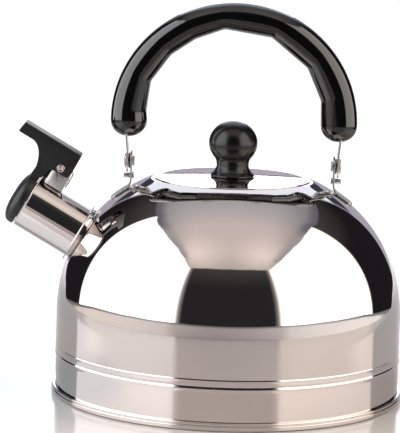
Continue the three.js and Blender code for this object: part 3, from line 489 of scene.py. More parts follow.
def surface(tree, place, grain_place, grain, bump, wear, **shading):
    """Ends a material: a fine grain for the bump, a broader wear for the roughness.

    The grain is (size in mm, detail), the bump is (strength, depth in mm), and the wear is (size
    in mm, detail, lower noise level, upper one, roughness at the lower, at the upper).
    """
    fine, broad = [
        add(tree, "ShaderNodeTexNoise", {
            "Vector": where, "Scale": 1 / (size * MM), "Detail": detail,
        }).outputs["Fac"] for where, size, detail in ((grain_place, *grain), (place, *wear[:2]))]
    low, high, smoothest, roughest = wear[2:]
    roughness = add(tree, "ShaderNodeMapRange", {
        "Value": broad, "From Min": low, "From Max": high, "To Min": smoothest, "To Max": roughest,
    }).outputs[0]
    relief = add(tree, "ShaderNodeBump", {
        "Height": fine, "Strength": bump[0], "Distance": bump[1] * MM,
    }).outputs[0]
    shader = add(tree, "ShaderNodeBsdfPrincipled", {
        "Roughness": roughness, "Normal": relief,
        **{name.replace("_", " "): value for name, value in shading.items()},
    })
    add(tree, "ShaderNodeOutputMaterial", {"Surface": shader.outputs[0]})


buffed, tree = shader_tree("Buffed stainless steel")
place = add(tree, "ShaderNodeTexCoord").outputs["Object"]
parts = add(tree, "ShaderNodeSeparateXYZ", {"Vector": place}).outputs
flat_place = add(tree, "ShaderNodeCombineXYZ", {"X": parts["X"], "Y": parts["Y"]}).outputs[0]
radius = add(tree, "ShaderNodeVectorMath", {0: flat_place}, operation="LENGTH").outputs["Value"]
rings = add(tree, "ShaderNodeCombineXYZ", {"X": radius, "Z": parts["Z"]}).outputs[0]
surface(tree, place, rings, (RING_MM, 3.0), (0.04, 0.02), (HAZE_MM, 4.0, 0.3, 0.7, 0.02, 0.05),
        Base_Color=linear("#dad2ce"), Metallic=1.0)
print("buffed steel:", len(tree.nodes), "nodes")

# %% [markdown]
# The ears, straps, bracket and fasteners are the same alloy straight from the rolling mill. It is
# satin rather than mirror bright, with fine streaks along the rolling direction. The same streaks
# drive its colour, roughness and bump.

# %% Rolled steel
STREAK_MM = 0.35
STREAK_LENGTH = 12  # how many times longer than wide

rolled, tree = shader_tree("Rolled stainless steel")
place = add(tree, "ShaderNodeTexCoord").outputs["Object"]
stretched = add(tree, "ShaderNodeMapping", {
    "Vector": place, "Scale": (1.0, 1.0, 1 / STREAK_LENGTH),
}).outputs[0]
streaks = add(tree, "ShaderNodeTexNoise", {
    "Vector": stretched, "Scale": 1 / (STREAK_MM * MM), "Detail": 4.0, "Roughness": 0.6,
}).outputs["Fac"]
satin = add(tree, "ShaderNodeMapRange", {
    "Value": streaks, "To Min": 0.16, "To Max": 0.38,
}).outputs[0]
tone = add(tree, "ShaderNodeMix", {
    0: streaks, 6: linear("#b7b6b4"), 7: linear("#d2d1cf"),
}, data_type="RGBA").outputs[2]
streak_bump = add(tree, "ShaderNodeBump", {
    "Height": streaks, "Strength": 0.25, "Distance": 0.01 * MM,
})
shader = add(tree, "ShaderNodeBsdfPrincipled", {
    "Base Color": tone, "Metallic": 1.0, "Roughness": satin, "Normal": streak_bump.outputs[0],
})
add(tree, "ShaderNodeOutputMaterial", {"Surface": shader.outputs[0]})
print("rolled steel:", len(tree.nodes), "nodes")

# %% [markdown]
# ## Black mouldings
# The grip and the knob are phenolic, moulded hot in a steel tool. It is a deep black with, on a
# close look, the faint orange peel of the resin skin. The grip's tool is polished and gives a hard
# wet gloss. The knob's is not, so the knob has the softer shine of a satin finish. The whistle
# lever and the friction washers are a heat-proof plastic from a tool with a fine etched texture: a
# very dark grey with a broad, soft shine.

# %% Mouldings
PEEL, PEEL_BUMP, GRAIN, GRAIN_BUMP = (1.6, 2.0), (0.12, 0.015), (0.5, 3.0), (0.3, 0.03)
MOULDINGS = {  # grain, bump, wear, colour and index
    # hard thin highlights with sharp edges: a skin rich in resin, with the index of a hard lacquer
    "Polished phenolic": (PEEL, PEEL_BUMP, (22, 5.0, 0.3, 0.7, 0.03, 0.06), "#060607", 1.7),
    # soft round highlights on the same deep black
    "Satin phenolic": (PEEL, PEEL_BUMP, (22, 5.0, 0.3, 0.7, 0.22, 0.28), "#060607", 1.5),
    # a broad dim shine, which lifts the black to a very dark grey
    "Satin heat-proof plastic": (GRAIN, GRAIN_BUMP, (9, 3.0, 0.0, 1.0, 0.33, 0.44), "#101112", 1.5),
}

blacks = []
for name, (grain, bump, wear, colour, index) in MOULDINGS.items():
    material, tree = shader_tree(name)
    place = add(tree, "ShaderNodeTexCoord").outputs["Object"]
    surface(tree, place, place, grain, bump, wear, Base_Color=linear(colour), IOR=index)
    blacks.append(material)
phenolic, satin_phenolic, satin_black = blacks
print("mouldings:", ", ".join(MOULDINGS))

# %% [markdown]
# The insert in the knob is turned from brass bar. The tool leaves a slightly uneven shine.

# %% Brass
turned_brass, tree = shader_tree("Turned brass")
place = add(tree, "ShaderNodeTexCoord").outputs["Object"]
tooling = add(tree, "ShaderNodeTexNoise", {"Vector": place, "Scale": 1 / (0.6 * MM)}).outputs["Fac"]
cut_marks = add(tree, "ShaderNodeMapRange", {
    "Value": tooling, "To Min": 0.2, "To Max": 0.4,
}).outputs[0]
shader = add(tree, "ShaderNodeBsdfPrincipled", {
    "Base Color": linear("#c9a35d"), "Metallic": 1.0, "Roughness": cut_marks,
})
add(tree, "ShaderNodeOutputMaterial", {"Surface": shader.outputs[0]})
print("materials:", [material.name for material in bpy.data.materials][-5:])

# %% [markdown]
# ## Turning on a lathe
# Most parts of a kettle are round: drawn, spun or turned about one axis. Geometry Nodes can do
# what a lathe does. A grid has one column for each step round the axis and one row for each point
# of the profile. Each grid point looks up its profile point by number and is turned into place.
# The seam and the poles are then merged, and edges sharper than a set angle stay crisp.

# %% Lathe tree
WELD = 1e-7


def shape_tree(name, inputs):
    """A Geometry Nodes tree with these inputs, by name and kind, and the sockets they give."""
    made = bpy.data.node_groups.new(name, "GeometryNodeTree")
    for socket_name, kind in inputs.items():
        made.interface.new_socket(socket_name, in_out="INPUT", socket_type="NodeSocket" + kind)
    made.interface.new_socket("Piece", in_out="OUTPUT", socket_type="NodeSocketGeometry")
    return made, add(made, "NodeGroupInput").outputs


def end_shape(tree, shape, finish):
    """The last nodes of such a tree: real geometry, its material and the way out."""
    real = add(tree, "GeometryNodeRealizeInstances", {"Geometry": shape}).outputs[0]
    finished = add(tree, "GeometryNodeSetMaterial", {"Geometry": real, "Material": finish})
    add(tree, "NodeGroupOutput", {"Piece": finished.outputs[0]})
    print(tree.name + ":", len(tree.nodes), "nodes")


lathe, given = shape_tree("Lathe", {
    "Profile": "Geometry", "Segments": "Int", "Crease angle": "Float", "Place": "Vector",
    "Lean": "Vector", "Finish": "Material",
})
count = add(lathe, "GeometryNodeAttributeDomainSize", {0: given["Profile"]}).outputs["Point Count"]
columns = add(lathe, "ShaderNodeMath", {0: given["Segments"], 1: 1.0}, operation="ADD").outputs[0]
blank = add(lathe, "GeometryNodeMeshGrid", {"Vertices X": columns, "Vertices Y": count})
number = add(lathe, "GeometryNodeInputIndex").outputs[0]
column = add(lathe, "ShaderNodeMath", {
    0: add(lathe, "ShaderNodeMath", {0: number, 1: count}, operation="DIVIDE").outputs[0],
}, operation="FLOOR").outputs[0]
row = add(lathe, "ShaderNodeMath", {0: number, 1: count}, operation="MODULO").outputs[0]
looked_up = add(lathe, "GeometryNodeSampleIndex", {
    "Geometry": given["Profile"], "Index": row,
    "Value": add(lathe, "GeometryNodeInputPosition").outputs[0],
}, data_type="FLOAT_VECTOR").outputs[0]
step = add(lathe, "ShaderNodeMath", {0: 2 * math.pi, 1: given["Segments"]}, operation="DIVIDE")
angle = add(lathe, "ShaderNodeMath", {0: column, 1: step.outputs[0]}, operation="MULTIPLY")
swung = add(lathe, "ShaderNodeVectorRotate", {
    "Vector": looked_up, "Axis": (0.0, 0.0, 1.0), "Angle": angle.outputs[0],
}).outputs[0]
skin = add(lathe, "GeometryNodeSetPosition", {"Geometry": blank.outputs[0], "Position": swung})
welded = add(lathe, "GeometryNodeMergeByDistance", {"Geometry": skin.outputs[0], "Distance": WELD})
smooth = add(lathe, "GeometryNodeSetShadeSmooth", {"Geometry": welded.outputs[0]}, domain="FACE")
bend = add(lathe, "GeometryNodeInputMeshEdgeAngle").outputs["Unsigned Angle"]
crisp = add(lathe, "FunctionNodeCompare", {0: bend, 1: given["Crease angle"]},
            operation="GREATER_THAN").outputs[0]
creased = add(lathe, "GeometryNodeSetShadeSmooth", {
    "Geometry": smooth.outputs[0], "Selection": crisp, "Shade Smooth": False,
}, domain="EDGE")
placed = add(lathe, "GeometryNodeTransform", {
    "Geometry": creased.outputs[0], "Rotation": given["Lean"], "Translation": given["Place"],
})
end_shape(lathe, placed.outputs[0], given["Finish"])

# %% [markdown]
# The tree is put on an object whose mesh is the bare profile. Its inputs are set by each socket's
# identifier before the object is first evaluated, and the result is then kept as a plain mesh. A
# small check turns a mesh the right way round if the volume that it holds comes out negative.

# %% Using a tree
CREASE = math.radians(32)


def new_object(name, points, edges=(), faces=()):
    """A mesh object from points in millimetres."""
    mesh = bpy.data.meshes.new(name)
    mesh.from_pydata([Vector(point) * MM for point in points], edges, faces)
    return shown(name, mesh)


def settle(piece):
    """Turns an object with its modifiers into one plain mesh whose faces point outwards."""
    graph = bpy.context.evaluated_depsgraph_get()
    mesh = bpy.data.meshes.new_from_object(piece.evaluated_get(graph), depsgraph=graph)
    piece.modifiers.clear()
    piece.data = mesh
    shell = bmesh.new()
    shell.from_mesh(mesh)
    if shell.calc_volume(signed=True) < 0:
        bmesh.ops.reverse_faces(shell, faces=shell.faces)
        shell.to_mesh(mesh)
    shell.free()
    return piece


def grow(piece, node_tree, **values):
    """Runs a node tree on a piece with named inputs, underscores standing for spaces."""
    step = piece.modifiers.new(node_tree.name, "NODES")
    step.node_group = node_tree
    sockets = {item.name: item.identifier for item in node_tree.interface.items_tree
               if item.in_out == "INPUT"}
    for name, value in values.items():
        step[sockets[name.replace("_", " ")]] = value
    return settle(piece)


def turned(name, profile, material, segments=96, place=(0, 0, 0), lean=(0, 0, 0)):
    """A closed profile of (radius, height) points in millimetres, turned about its axis."""
    points = [(x, 0, z) for x, z in profile]
    piece = new_object(name, points, [(i, i + 1) for i in range(len(points) - 1)])
    return grow(piece, lathe, Segments=segments, Crease_angle=CREASE,
                Place=[part * MM for part in place], Lean=list(lean), Finish=material)


def rod(name, radius, start, end, material, place=(0, 0, 0), lean=(0, 0, 0), segments=48):
    """A plain cylinder about its axis, used as a cutter."""
    return turned(name, [(0, start), (radius, start), (radius, end), (0, end)], material,
                  segments, place, lean)


def box(name, *spans):
    """A plain box from its spans along X, Y and Z in millimetres, used as a cutter."""
    corners = [(x, y, z) for x in spans[0] for y in spans[1] for z in spans[2]]
    return settle(new_object(name, corners, (), [
        (0, 1, 3, 2), (4, 6, 7, 5), (0, 4, 5, 1), (2, 3, 7, 6), (0, 2, 6, 4), (1, 5, 7, 3)]))


def bevelled(piece, width, segments, least_angle):
    """Rounds the edges that are sharper than an angle, over a width in millimetres."""
    bevel = piece.modifiers.new("Soft edges", "BEVEL")
    bevel.width = width * MM
    bevel.segments = segments
    bevel.limit_method = "ANGLE"
    bevel.angle_limit = math.radians(least_angle)
    return settle(piece)


def shaded(piece, crease=CREASE):
    """Smooth shading with crisp edges where faces meet at more than the crease angle."""
    piece.data.shade_smooth()
    piece.data.set_sharp_from_angle(angle=crease)
    return piece


def cut_with(piece, tool, operation="DIFFERENCE"):
    """Joins a tool solid to a piece, or takes it away, and drops the tool."""
    step = piece.modifiers.new("Cut", "BOOLEAN")
    step.operation = operation
    step.solver = "EXACT"
    step.object = tool
    settle(piece)
    bpy.data.objects.remove(tool)
    return piece


def dress(piece, body, slot, *nodes):
    """Hands a finished piece to the frame: its body and the nodes it stands for. The slot is not
    used.
    """
    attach(piece, body)
    if nodes:
        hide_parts(*nodes)
    print(piece.name, len(piece.data.polygons), "faces on", body)


# %% [markdown]
# Pressed and turned metal has no perfectly sharp corner. A profile is therefore written as corners
# with a small radius each, and a helper draws the arc. These small radii catch the light and make
# thin bright lines along the edges.

# %% Rounded profiles
def rounded(corners, steps=4):
    """Corners of (x, z, fillet), drawn as a line with an arc of that radius at each corner."""
    line = []
    for i, (x, z, fillet) in enumerate(corners):
        here = np.array((x, z), float)
        if fillet == 0 or i in (0, len(corners) - 1):
            line.append(tuple(here))
            continue
        back = np.array(corners[i - 1][:2], float) - here
        on = np.array(corners[i + 1][:2], float) - here
        back_length, on_length = np.linalg.norm(back), np.linalg.norm(on)
        back, on = back / back_length, on / on_length
        half = math.acos(np.clip(back @ on, -1, 1)) / 2
        reach = min(fillet / math.tan(half), 0.48 * back_length, 0.48 * on_length)
        middle = (back + on) / np.linalg.norm(back + on)
        centre = here + middle * reach / math.cos(half)
        start, end = here + back * reach - centre, here + on * reach - centre
        first = math.atan2(start[1], start[0])
        sweep = (math.atan2(end[1], end[0]) - first + math.pi) % (2 * math.pi) - math.pi
        size = np.linalg.norm(start)
        for k in range(steps + 1):
            turn = first + sweep * k / steps
            line.append((centre[0] + size * math.cos(turn), centre[1] + size * math.sin(turn)))
    return line


print("a 1 mm corner takes", len(rounded([(0, 0, 0), (5, 0, 1), (5, 5, 0)])) - 2, "points")

# %% [markdown]
# ## Body
# The body is drawn from one sheet: a straight wall with two pressed beads, and a dome over it. The
# dome is a superellipse, a little squarer than a true ellipse. Near the top it steps down to a
# ledge for the lid and turns in to a short collar. The same curve, one sheet thickness smaller,
# closes the inside. The lathe turns it with enough steps that reflections stay clean.

# %% Body sheet
BODY_RADIUS, SHEET = 100, 0.6
DOME_START, DOME_RISE, DOME_POWER = 44.7, 89.2, 2.156
BEADS = ((22.8, 0.4, 3.6), (27.5, 0.2, 2.4))  # height, how proud and how wide
MOUTH_RADIUS, COLLAR_DEPTH, LEDGE_DROP = 40, 4, 0.6
LID_RADIUS, LID_GAP = 45.2, 0.8
FIT = 0.3
FOOT = 1.5
DOME_STEPS, BODY_SEGMENTS = 72, 288


def dome_height(radius, skin=0):
    """Height of the dome above a radius."""
    share = min(radius / (BODY_RADIUS - skin), 1)
    return DOME_START + (DOME_RISE - skin) * (1 - share ** DOME_POWER) ** (1 / DOME_POWER)


def dome_radius(height, skin=0):
    """Radius of the dome at a height."""
    share = max(height - DOME_START, 0) / (DOME_RISE - skin)
    return (BODY_RADIUS - skin) * (1 - share ** DOME_POWER) ** (1 / DOME_POWER)


def dome_line(skin, last_radius):
    """Points up the dome from the straight wall to a radius."""
    size = BODY_RADIUS - skin
    last = math.acos((last_radius / size) ** (DOME_POWER / 2))
    line = []
    for i in range(DOME_STEPS + 1):
        turn = last * i / DOME_STEPS
        line.append((size * math.cos(turn) ** (2 / DOME_POWER),
                     DOME_START + (DOME_RISE - skin) * math.sin(turn) ** (2 / DOME_POWER)))
    return line


def bead(height, proud_by, width, steps=12):
    """A pressed bead: a smooth ridge that rises from the wall and falls back to it."""
    line = []
    for i in range(steps + 1):
        share = i / steps
        proud = proud_by * (1 - math.cos(2 * math.pi * share)) / 2
        line.append((BODY_RADIUS + proud, height + width * (share - 0.5)))
    return line


ledge_radius = LID_RADIUS + LID_GAP
ledge = dome_height(ledge_radius) - LEDGE_DROP
inner = BODY_RADIUS - SHEET
outer_line = [(inner, FOOT), (BODY_RADIUS, FOOT)]
for bead_sizes in BEADS:
    outer_line += bead(*bead_sizes)
outer_line += dome_line(0, ledge_radius)[:-1]
neck = rounded([
    (*dome_line(0, ledge_radius)[-2], 0), (ledge_radius, dome_height(ledge_radius), 0.25),
    (ledge_radius, ledge, 0.2), (MOUTH_RADIUS, ledge, 0.5),
    (MOUTH_RADIUS, ledge - COLLAR_DEPTH, 0.25), (MOUTH_RADIUS + SHEET, ledge - COLLAR_DEPTH, 0.25),
    (MOUTH_RADIUS + SHEET, ledge - SHEET, 0.2),
    (dome_radius(ledge - SHEET, SHEET), ledge - SHEET, 0),
])[1:-1]
inner_line = dome_line(SHEET, dome_radius(ledge - SHEET, SHEET))[::-1]
body_line = outer_line + neck + inner_line + [(inner, FOOT)]
body_sheet = turned("pressed_body", body_line, buffed, BODY_SEGMENTS)
print("ledge at", round(ledge, 2), "mm, lid seat at", round(ledge + FIT, 2), "mm")

# %% [markdown]
# The spout leans up at thirty degrees. Its frame has Z along the tube and X square to it, upwards.
# The body is pierced where the tube enters, with a plain cylinder as the cutter.

# %% Spout frame and hole
SPOUT_LEAN = math.radians(30 - 90)
SPOUT_ROOT = (-87.6728, 0, 91.3287)
SPOUT_RADIUS, SPOUT_LENGTH, SPOUT_ROOT_DEPTH = 15.65, 35.2, 3
FLANGE_RADIUS, FLANGE_THICKNESS = 18.3, 0.7
HINGE_BACK, HINGE_UP = 6.5, 11.8
PIERCER_REACH = 20
AS_X, AS_Y = (0, math.pi / 2, 0), (-math.pi / 2, 0, 0)  # leans that lay Z along X or Y
ALONG_SPOUT = (0, SPOUT_LEAN, 0)

spout_frame = (Matrix.Translation(Vector(SPOUT_ROOT) * MM)
               @ Matrix.Rotation(SPOUT_LEAN, 4, "Y"))
hinge_height = SPOUT_RADIUS + HINGE_UP
hinge_frame = spout_frame @ Matrix.Translation(
    Vector((hinge_height, 0, SPOUT_LENGTH - HINGE_BACK)) * MM)
hinge_place = hinge_frame.translation / MM

shaded(cut_with(body_sheet, rod("piercer", SPOUT_RADIUS + FIT, -PIERCER_REACH, PIERCER_REACH,
                                buffed, SPOUT_ROOT, ALONG_SPOUT, 96)))
dress(body_sheet, "root", "polished_steel", "body_shell")
print("hinge pin at", [round(part, 2) for part in hinge_place])

# %% [markdown]
# The flat base is a second sheet. Its edge is rolled round the foot of the body in a doubled seam,
# which shows as two soft rolls with a dark line between them.

# %% Base
SEAM_PROUD, SEAM_HEIGHT, SEAM_ROUND, SEAM_WAIST = 2.05, 4.6, 1, 0.45
CHANNEL_FLOOR, PAN_FLOOR, SEAM_PLAY, UPPER_IN = 1.2, 0.8, 0.12, 0.1
seam = BODY_RADIUS + SEAM_PROUD
waist = (SEAM_HEIGHT + SEAM_ROUND) / 2
channel_in = BODY_RADIUS - SHEET - FIT
base_line = rounded([
    (0, 0, 0), (seam, 0, SEAM_ROUND), (seam, waist - SEAM_WAIST / 2, 0.5),
    (seam - SEAM_WAIST * 1.4, waist + 0.1, 0.1), (seam - UPPER_IN, waist + SEAM_WAIST, 0.6),
    (seam - UPPER_IN, SEAM_HEIGHT, 0.9), (BODY_RADIUS + SEAM_PLAY, SEAM_HEIGHT, 0.15),
    (BODY_RADIUS + SEAM_PLAY, CHANNEL_FLOOR, 0), (channel_in, CHANNEL_FLOOR, 0),
    (channel_in, SEAM_HEIGHT, 0.15), (channel_in - SHEET, SEAM_HEIGHT, 0.15),
    (channel_in - SHEET, PAN_FLOOR, 1.2), (0, PAN_FLOOR, 0),
], 6)
base = turned("rolled_base", base_line, buffed, BODY_SEGMENTS)
dress(base, "root", "polished_steel", "base_pan")

# %% [markdown]
# ## Lid
# The lid is a shallow plate with a rolled rim that stands in the step of the dome. A ring under it
# centres it in the mouth. Both are turned, and their parts under the dome are hidden until the lid
# is lifted.

# %% Lid plate and ring
LID_CROWN, LID_EDGE, SKIRT_DEPTH, SKIRT_PLAY = 0.9, 0.85, 6.5, 0.7
LID_HOLE, LID_RIM, LID_STEPS = 2.3, 2.2, 24
lid_seat = ledge + FIT


def lid_under(radius):
    """Height of the lid's underside."""
    return lid_seat + LID_CROWN * (1 - (radius / LID_RADIUS) ** 2)


crown_radii = np.linspace(LID_HOLE, LID_RADIUS - LID_RIM, LID_STEPS)
lid_line = [(x, lid_under(x)) for x in crown_radii]
lid_line += rounded([
    (crown_radii[-1], lid_under(crown_radii[-1]), 0), (LID_RADIUS - 1.2, lid_seat, 0.5),
    (LID_RADIUS, lid_seat, 0.4), (LID_RADIUS, lid_seat + LID_EDGE, 0.42),
    (LID_RADIUS - LID_EDGE, lid_seat + LID_EDGE, 0.42),
    (crown_radii[-1], lid_under(crown_radii[-1]) + SHEET, 0),
], 5)[1:-1]
lid_line += [(x, lid_under(x) + SHEET) for x in crown_radii[::-1]]
lid_line.append(lid_line[0])
dress(turned("lid_plate", lid_line, buffed, 192), "lid", "polished_steel", "lid_shell")

ring_out = MOUTH_RADIUS - SKIRT_PLAY
ring_line = rounded([
    (ring_out - SHEET / 2, ledge, 0), (ring_out - SHEET, ledge, 0.15),
    (ring_out - SHEET, ledge - SKIRT_DEPTH, 0.25), (ring_out, ledge - SKIRT_DEPTH, 0.25),
    (ring_out, ledge, 0.15), (ring_out - SHEET / 2, ledge, 0),
])
dress(turned("lid_ring", ring_line, rolled, 160), "lid", "plain_steel", "lid_skirt")

# %% [markdown]
# The knob is a moulded ball, a little wider than it is high, on a waisted neck that flares out to
# a thin foot. Its pocket for the brass insert is part of the same profile.

# %% Knob
KNOB_FOOT, KNOB_FOOT_HEIGHT, KNOB_NECK, KNOB_NECK_HEIGHT, KNOB_THROAT = 12.7, 0.8, 9.2, 5.4, 10.4
KNOB_RADIUS, KNOB_HALF, KNOB_CENTRE = 14.1, 12.8, 19.1
POCKET_RADIUS, POCKET_DEPTH, BALL_STEPS = 4.3, 11.1, 40
FLARE_OUT, FLARE_UP, THROAT_IN, THROAT_HEIGHT = 1.5, 1.9, 0.75, 8.9
knob_seat = lid_under(0) + SHEET + FIT

ball_start = -math.acos(KNOB_THROAT / KNOB_RADIUS)
ball = [(KNOB_RADIUS * math.cos(turn), knob_seat + KNOB_CENTRE + KNOB_HALF * math.sin(turn))
        for turn in np.linspace(ball_start, math.pi / 2, BALL_STEPS)]
ball[-1] = (0, ball[-1][1])
knob_foot = rounded([
    (0, knob_seat + POCKET_DEPTH, 0), (POCKET_RADIUS, knob_seat + POCKET_DEPTH, 0.4),
    (POCKET_RADIUS, knob_seat, 0.3), (KNOB_FOOT, knob_seat, 0.2),
    (KNOB_FOOT, knob_seat + KNOB_FOOT_HEIGHT, 0.3),
    (KNOB_NECK + FLARE_OUT, knob_seat + KNOB_FOOT_HEIGHT + FLARE_UP, 2.4),
    (KNOB_NECK - 0.05, knob_seat + KNOB_NECK_HEIGHT, 6),
    (KNOB_THROAT - THROAT_IN, knob_seat + THROAT_HEIGHT, 1.2), (*ball[0], 0),
], 8)[:-1]
knob = turned("ball_knob", knob_foot + ball, satin_phenolic, 96)
dress(knob, "lid", "bakelite", "lid_knob")
print("knob top at", round(ball[-1][1], 2), "mm")

# %% [markdown]
# ## Handle hardware
# Ears and straps are strips of sheet. A strip is described by stations along a line in X and Z:
# the inner face's point, the direction through the thickness, and half the width. Each station
# becomes a small rounded rectangle, and neighbouring ones are skinned. A half-round end is only a
# matter of widths that shrink along a circle.

# %% Sheet strips
def skin(name, loops, material, crease=CREASE):
    """Skins a row of closed loops of points in millimetres and closes both ends."""
    sides = len(loops[0])
    points = [point for loop in loops for point in loop]
    faces = []
    for i in range(len(loops) - 1):
        for k in range(sides):
            on = (k + 1) % sides
            faces.append((i * sides + k, i * sides + on, (i + 1) * sides + on, (i + 1) * sides + k))
    faces.append(tuple(range(sides))[::-1])
    faces.append(tuple(range((len(loops) - 1) * sides, len(loops) * sides)))
    made = new_object(name, points, (), faces)
    made.data.materials.append(material)
    return shaded(settle(made), crease)


def strip_loop(point, through, half_width, thickness, fall=None, corner=0.18):
    """One station of a strip: a rounded rectangle from the inner face through the thickness."""
    outline = rounded([
        (0, -half_width + 0.01, 0), (0, -half_width, corner), (thickness, -half_width, corner),
        (thickness, half_width, corner), (0, half_width, corner), (0, -half_width + 0.01, 0),
    ], 3)[1:-1]
    loop = []
    for depth, y in outline:
        drop = fall(y) if fall else 0
        loop.append((point[0] + through[0] * depth, y, point[1] + through[1] * depth - drop))
    return loop


def through_of(line, i):
    """The direction square to a line in X and Z, to its right when it runs downwards."""
    before, after = line[max(i - 1, 0)], line[min(i + 1, len(line) - 1)]
    along_x, along_z = after[0] - before[0], after[1] - before[1]
    length = math.hypot(along_x, along_z)
    return -along_z / length, along_x / length


print("strip section:", len(strip_loop((0, 0), (1, 0), 6, 1)), "points")

# %% [markdown]
# An ear stands on the dome, flat and upright at the pivot. Lower down it curves outwards into a
# foot that follows the dome both ways and is spot-welded to it.

# %% Ears
EAR_X, EAR_THICKNESS, EAR_HALF, FOOT_HALF = 58, 1, 6, 7
EAR_BEND, EAR_SPLAY, FOOT_REACH, PIVOT_ABOVE = 11, 2.2, 9, 14.5
FOOT_CORNER, FOOT_LIFT = 2.5, 0.35
TOP_STEPS, FLAT_STEPS, BEND_STEPS, FOOT_STEPS = 13, 5, 8, 12
LEAST_HALF = 0.4  # half the width where a round end begins
RIVET_RADIUS, STOP_BELOW, STOP_SHANK = 1.9, 8.6, 1.1
EAR_DRILL, STRAP_DRILL = (50, 66), (50, 70)  # where the drills start and end along X
OVERSHOOT = 2  # how far a cutter stands out of what it cuts
pivot = dome_height(EAR_X) + PIVOT_ABOVE


def ear_sheet(name):
    """The right ear with its foot and its two holes."""
    foot_x = EAR_X + EAR_SPLAY
    bend, bottom = pivot - EAR_BEND, dome_height(foot_x) + FOOT_LIFT
    stations = []  # inner face, half the width, share of the dome's fall to either side
    for i in range(TOP_STEPS + 1):
        turn = math.pi / 2 * (1 - i / TOP_STEPS)
        stations.append(((EAR_X, pivot + EAR_HALF * math.sin(turn)),
                         max(EAR_HALF * math.cos(turn), LEAST_HALF), 0))
    for i in range(1, FLAT_STEPS + 1):
        stations.append(((EAR_X, pivot - EAR_BEND * i / FLAT_STEPS), EAR_HALF, 0))
    for i in range(1, BEND_STEPS + 1):
        down = i / BEND_STEPS
        stations.append(((EAR_X + EAR_SPLAY * down ** 2, bend + (bottom - bend) * down),
                         EAR_HALF + (FOOT_HALF - EAR_HALF) * down ** 3, down ** 3))
    for i in range(1, FOOT_STEPS + 1):
        x = foot_x + FOOT_REACH * i / FOOT_STEPS
        left = max(1 - (1 - i / FOOT_STEPS) * FOOT_REACH / FOOT_CORNER, 0)
        half_width = FOOT_HALF - FOOT_CORNER * (1 - math.sqrt(max(1 - left ** 2, 0)))
        stations.append(((x, dome_height(x) + FIT), half_width, 1))
    line, halves, falls = zip(*stations)
    loops = []
    for i, point in enumerate(line):
        def fall(y, x=point[0], weight=falls[i]):
            return weight * (dome_height(x) - dome_height(math.hypot(x, y)))
        loops.append(strip_loop(point, through_of(line, i), halves[i], EAR_THICKNESS, fall))
    ear = skin(name, loops, rolled)
    for radius, z in ((RIVET_RADIUS, pivot), (STOP_SHANK, pivot - STOP_BELOW)):
        cut_with(ear, rod("hole", radius + FIT, *EAR_DRILL, rolled, (0, 0, z), AS_X))
    return shaded(ear)


def on_both_sides(make, name, body, slot, node):
    """Makes a right-hand piece and, turned half round, its left-hand twin."""
    for side, turn in (("right", 0), ("left", math.pi)):
        piece = make(f"{name}_{side}")
        piece.data.transform(Matrix.Rotation(turn, 4, "Z"))
        dress(piece, body, slot, f"{node}_{side}")


on_both_sides(ear_sheet, "welded_ear", "root", "plain_steel", "ear")
print("pivot at", round(pivot, 2), "mm")

# %% [markdown]
# Washer, rivet and stop pin are turned along X. The rivet's head is a low dome, and its tail is
# pressed flat inside the ear. The stop pin's drum catches the strap when the handle is let down.

# %% Washers, rivets and stop pins
WASHER_RADIUS, WASHER_THICKNESS, STRAP_THICKNESS = 4.4, 0.7, 1
HEAD_RADIUS, HEAD_HEIGHT, TAIL_RADIUS, TAIL_HEIGHT = 4.4, 1.3, 3, 1.1
STOP_RADIUS, STOP_PROUD, STOP_TAIL, STOP_TAIL_HEIGHT = 1.5, 3.6, 1.9, 0.8
HEAD_RIM, HEAD_STEPS, SMALL_SEGMENTS = 0.25, 12, 64
washer_x = EAR_X + EAR_THICKNESS + FIT
strap_x = washer_x + WASHER_THICKNESS + FIT
tail_x = EAR_X - FIT
head_x = strap_x + STRAP_THICKNESS + FIT


def washer(name):
    """The black friction washer between ear and strap."""
    hole, end = RIVET_RADIUS + FIT, washer_x + WASHER_THICKNESS
    return turned(name, rounded([
        (hole + 1, washer_x, 0), (WASHER_RADIUS, washer_x, 0.2), (WASHER_RADIUS, end, 0.2),
        (hole, end, 0.1), (hole, washer_x, 0.1), (hole + 1, washer_x, 0),
    ]), satin_black, SMALL_SEGMENTS, (0, 0, pivot), AS_X)


def rivet(name):
    """The pivot rivet: flat tail, shank and domed head."""
    rim_x = head_x + HEAD_RIM
    dome = [(HEAD_RADIUS * math.cos(turn), rim_x + (HEAD_HEIGHT - HEAD_RIM) * math.sin(turn))
            for turn in np.linspace(0, math.pi / 2, HEAD_STEPS)[:-1]]
    return turned(name, rounded([
        (0, tail_x - TAIL_HEIGHT, 0), (TAIL_RADIUS, tail_x - TAIL_HEIGHT, 0.4),
        (TAIL_RADIUS, tail_x, 0.2), (RIVET_RADIUS, tail_x, 0), (RIVET_RADIUS, head_x, 0),
        (HEAD_RADIUS, head_x, 0.12), (HEAD_RADIUS, rim_x, 0),
    ]) + dome[1:] + [(0, head_x + HEAD_HEIGHT)], rolled, SMALL_SEGMENTS, (0, 0, pivot), AS_X)


def stop(name):
    """The stop pin: a drum outside the ear and a flattened tail inside."""
    return turned(name, rounded([
        (0, tail_x - STOP_TAIL_HEIGHT, 0), (STOP_TAIL, tail_x - STOP_TAIL_HEIGHT, 0.3),
        (STOP_TAIL, tail_x, 0.15), (STOP_SHANK, tail_x, 0), (STOP_SHANK, washer_x, 0),
        (STOP_RADIUS, washer_x, 0.2), (STOP_RADIUS, washer_x + STOP_PROUD, 0.25),
        (0, washer_x + STOP_PROUD, 0),
    ]), rolled, 48, (0, 0, pivot - STOP_BELOW), AS_X)


on_both_sides(washer, "friction_washer", "root", "lever_plastic", "pivot_washer")
on_both_sides(rivet, "pivot_stud", "root", "plain_steel", "pivot_rivet")
on_both_sides(stop, "stop_stud", "root", "plain_steel", "stop_pin")

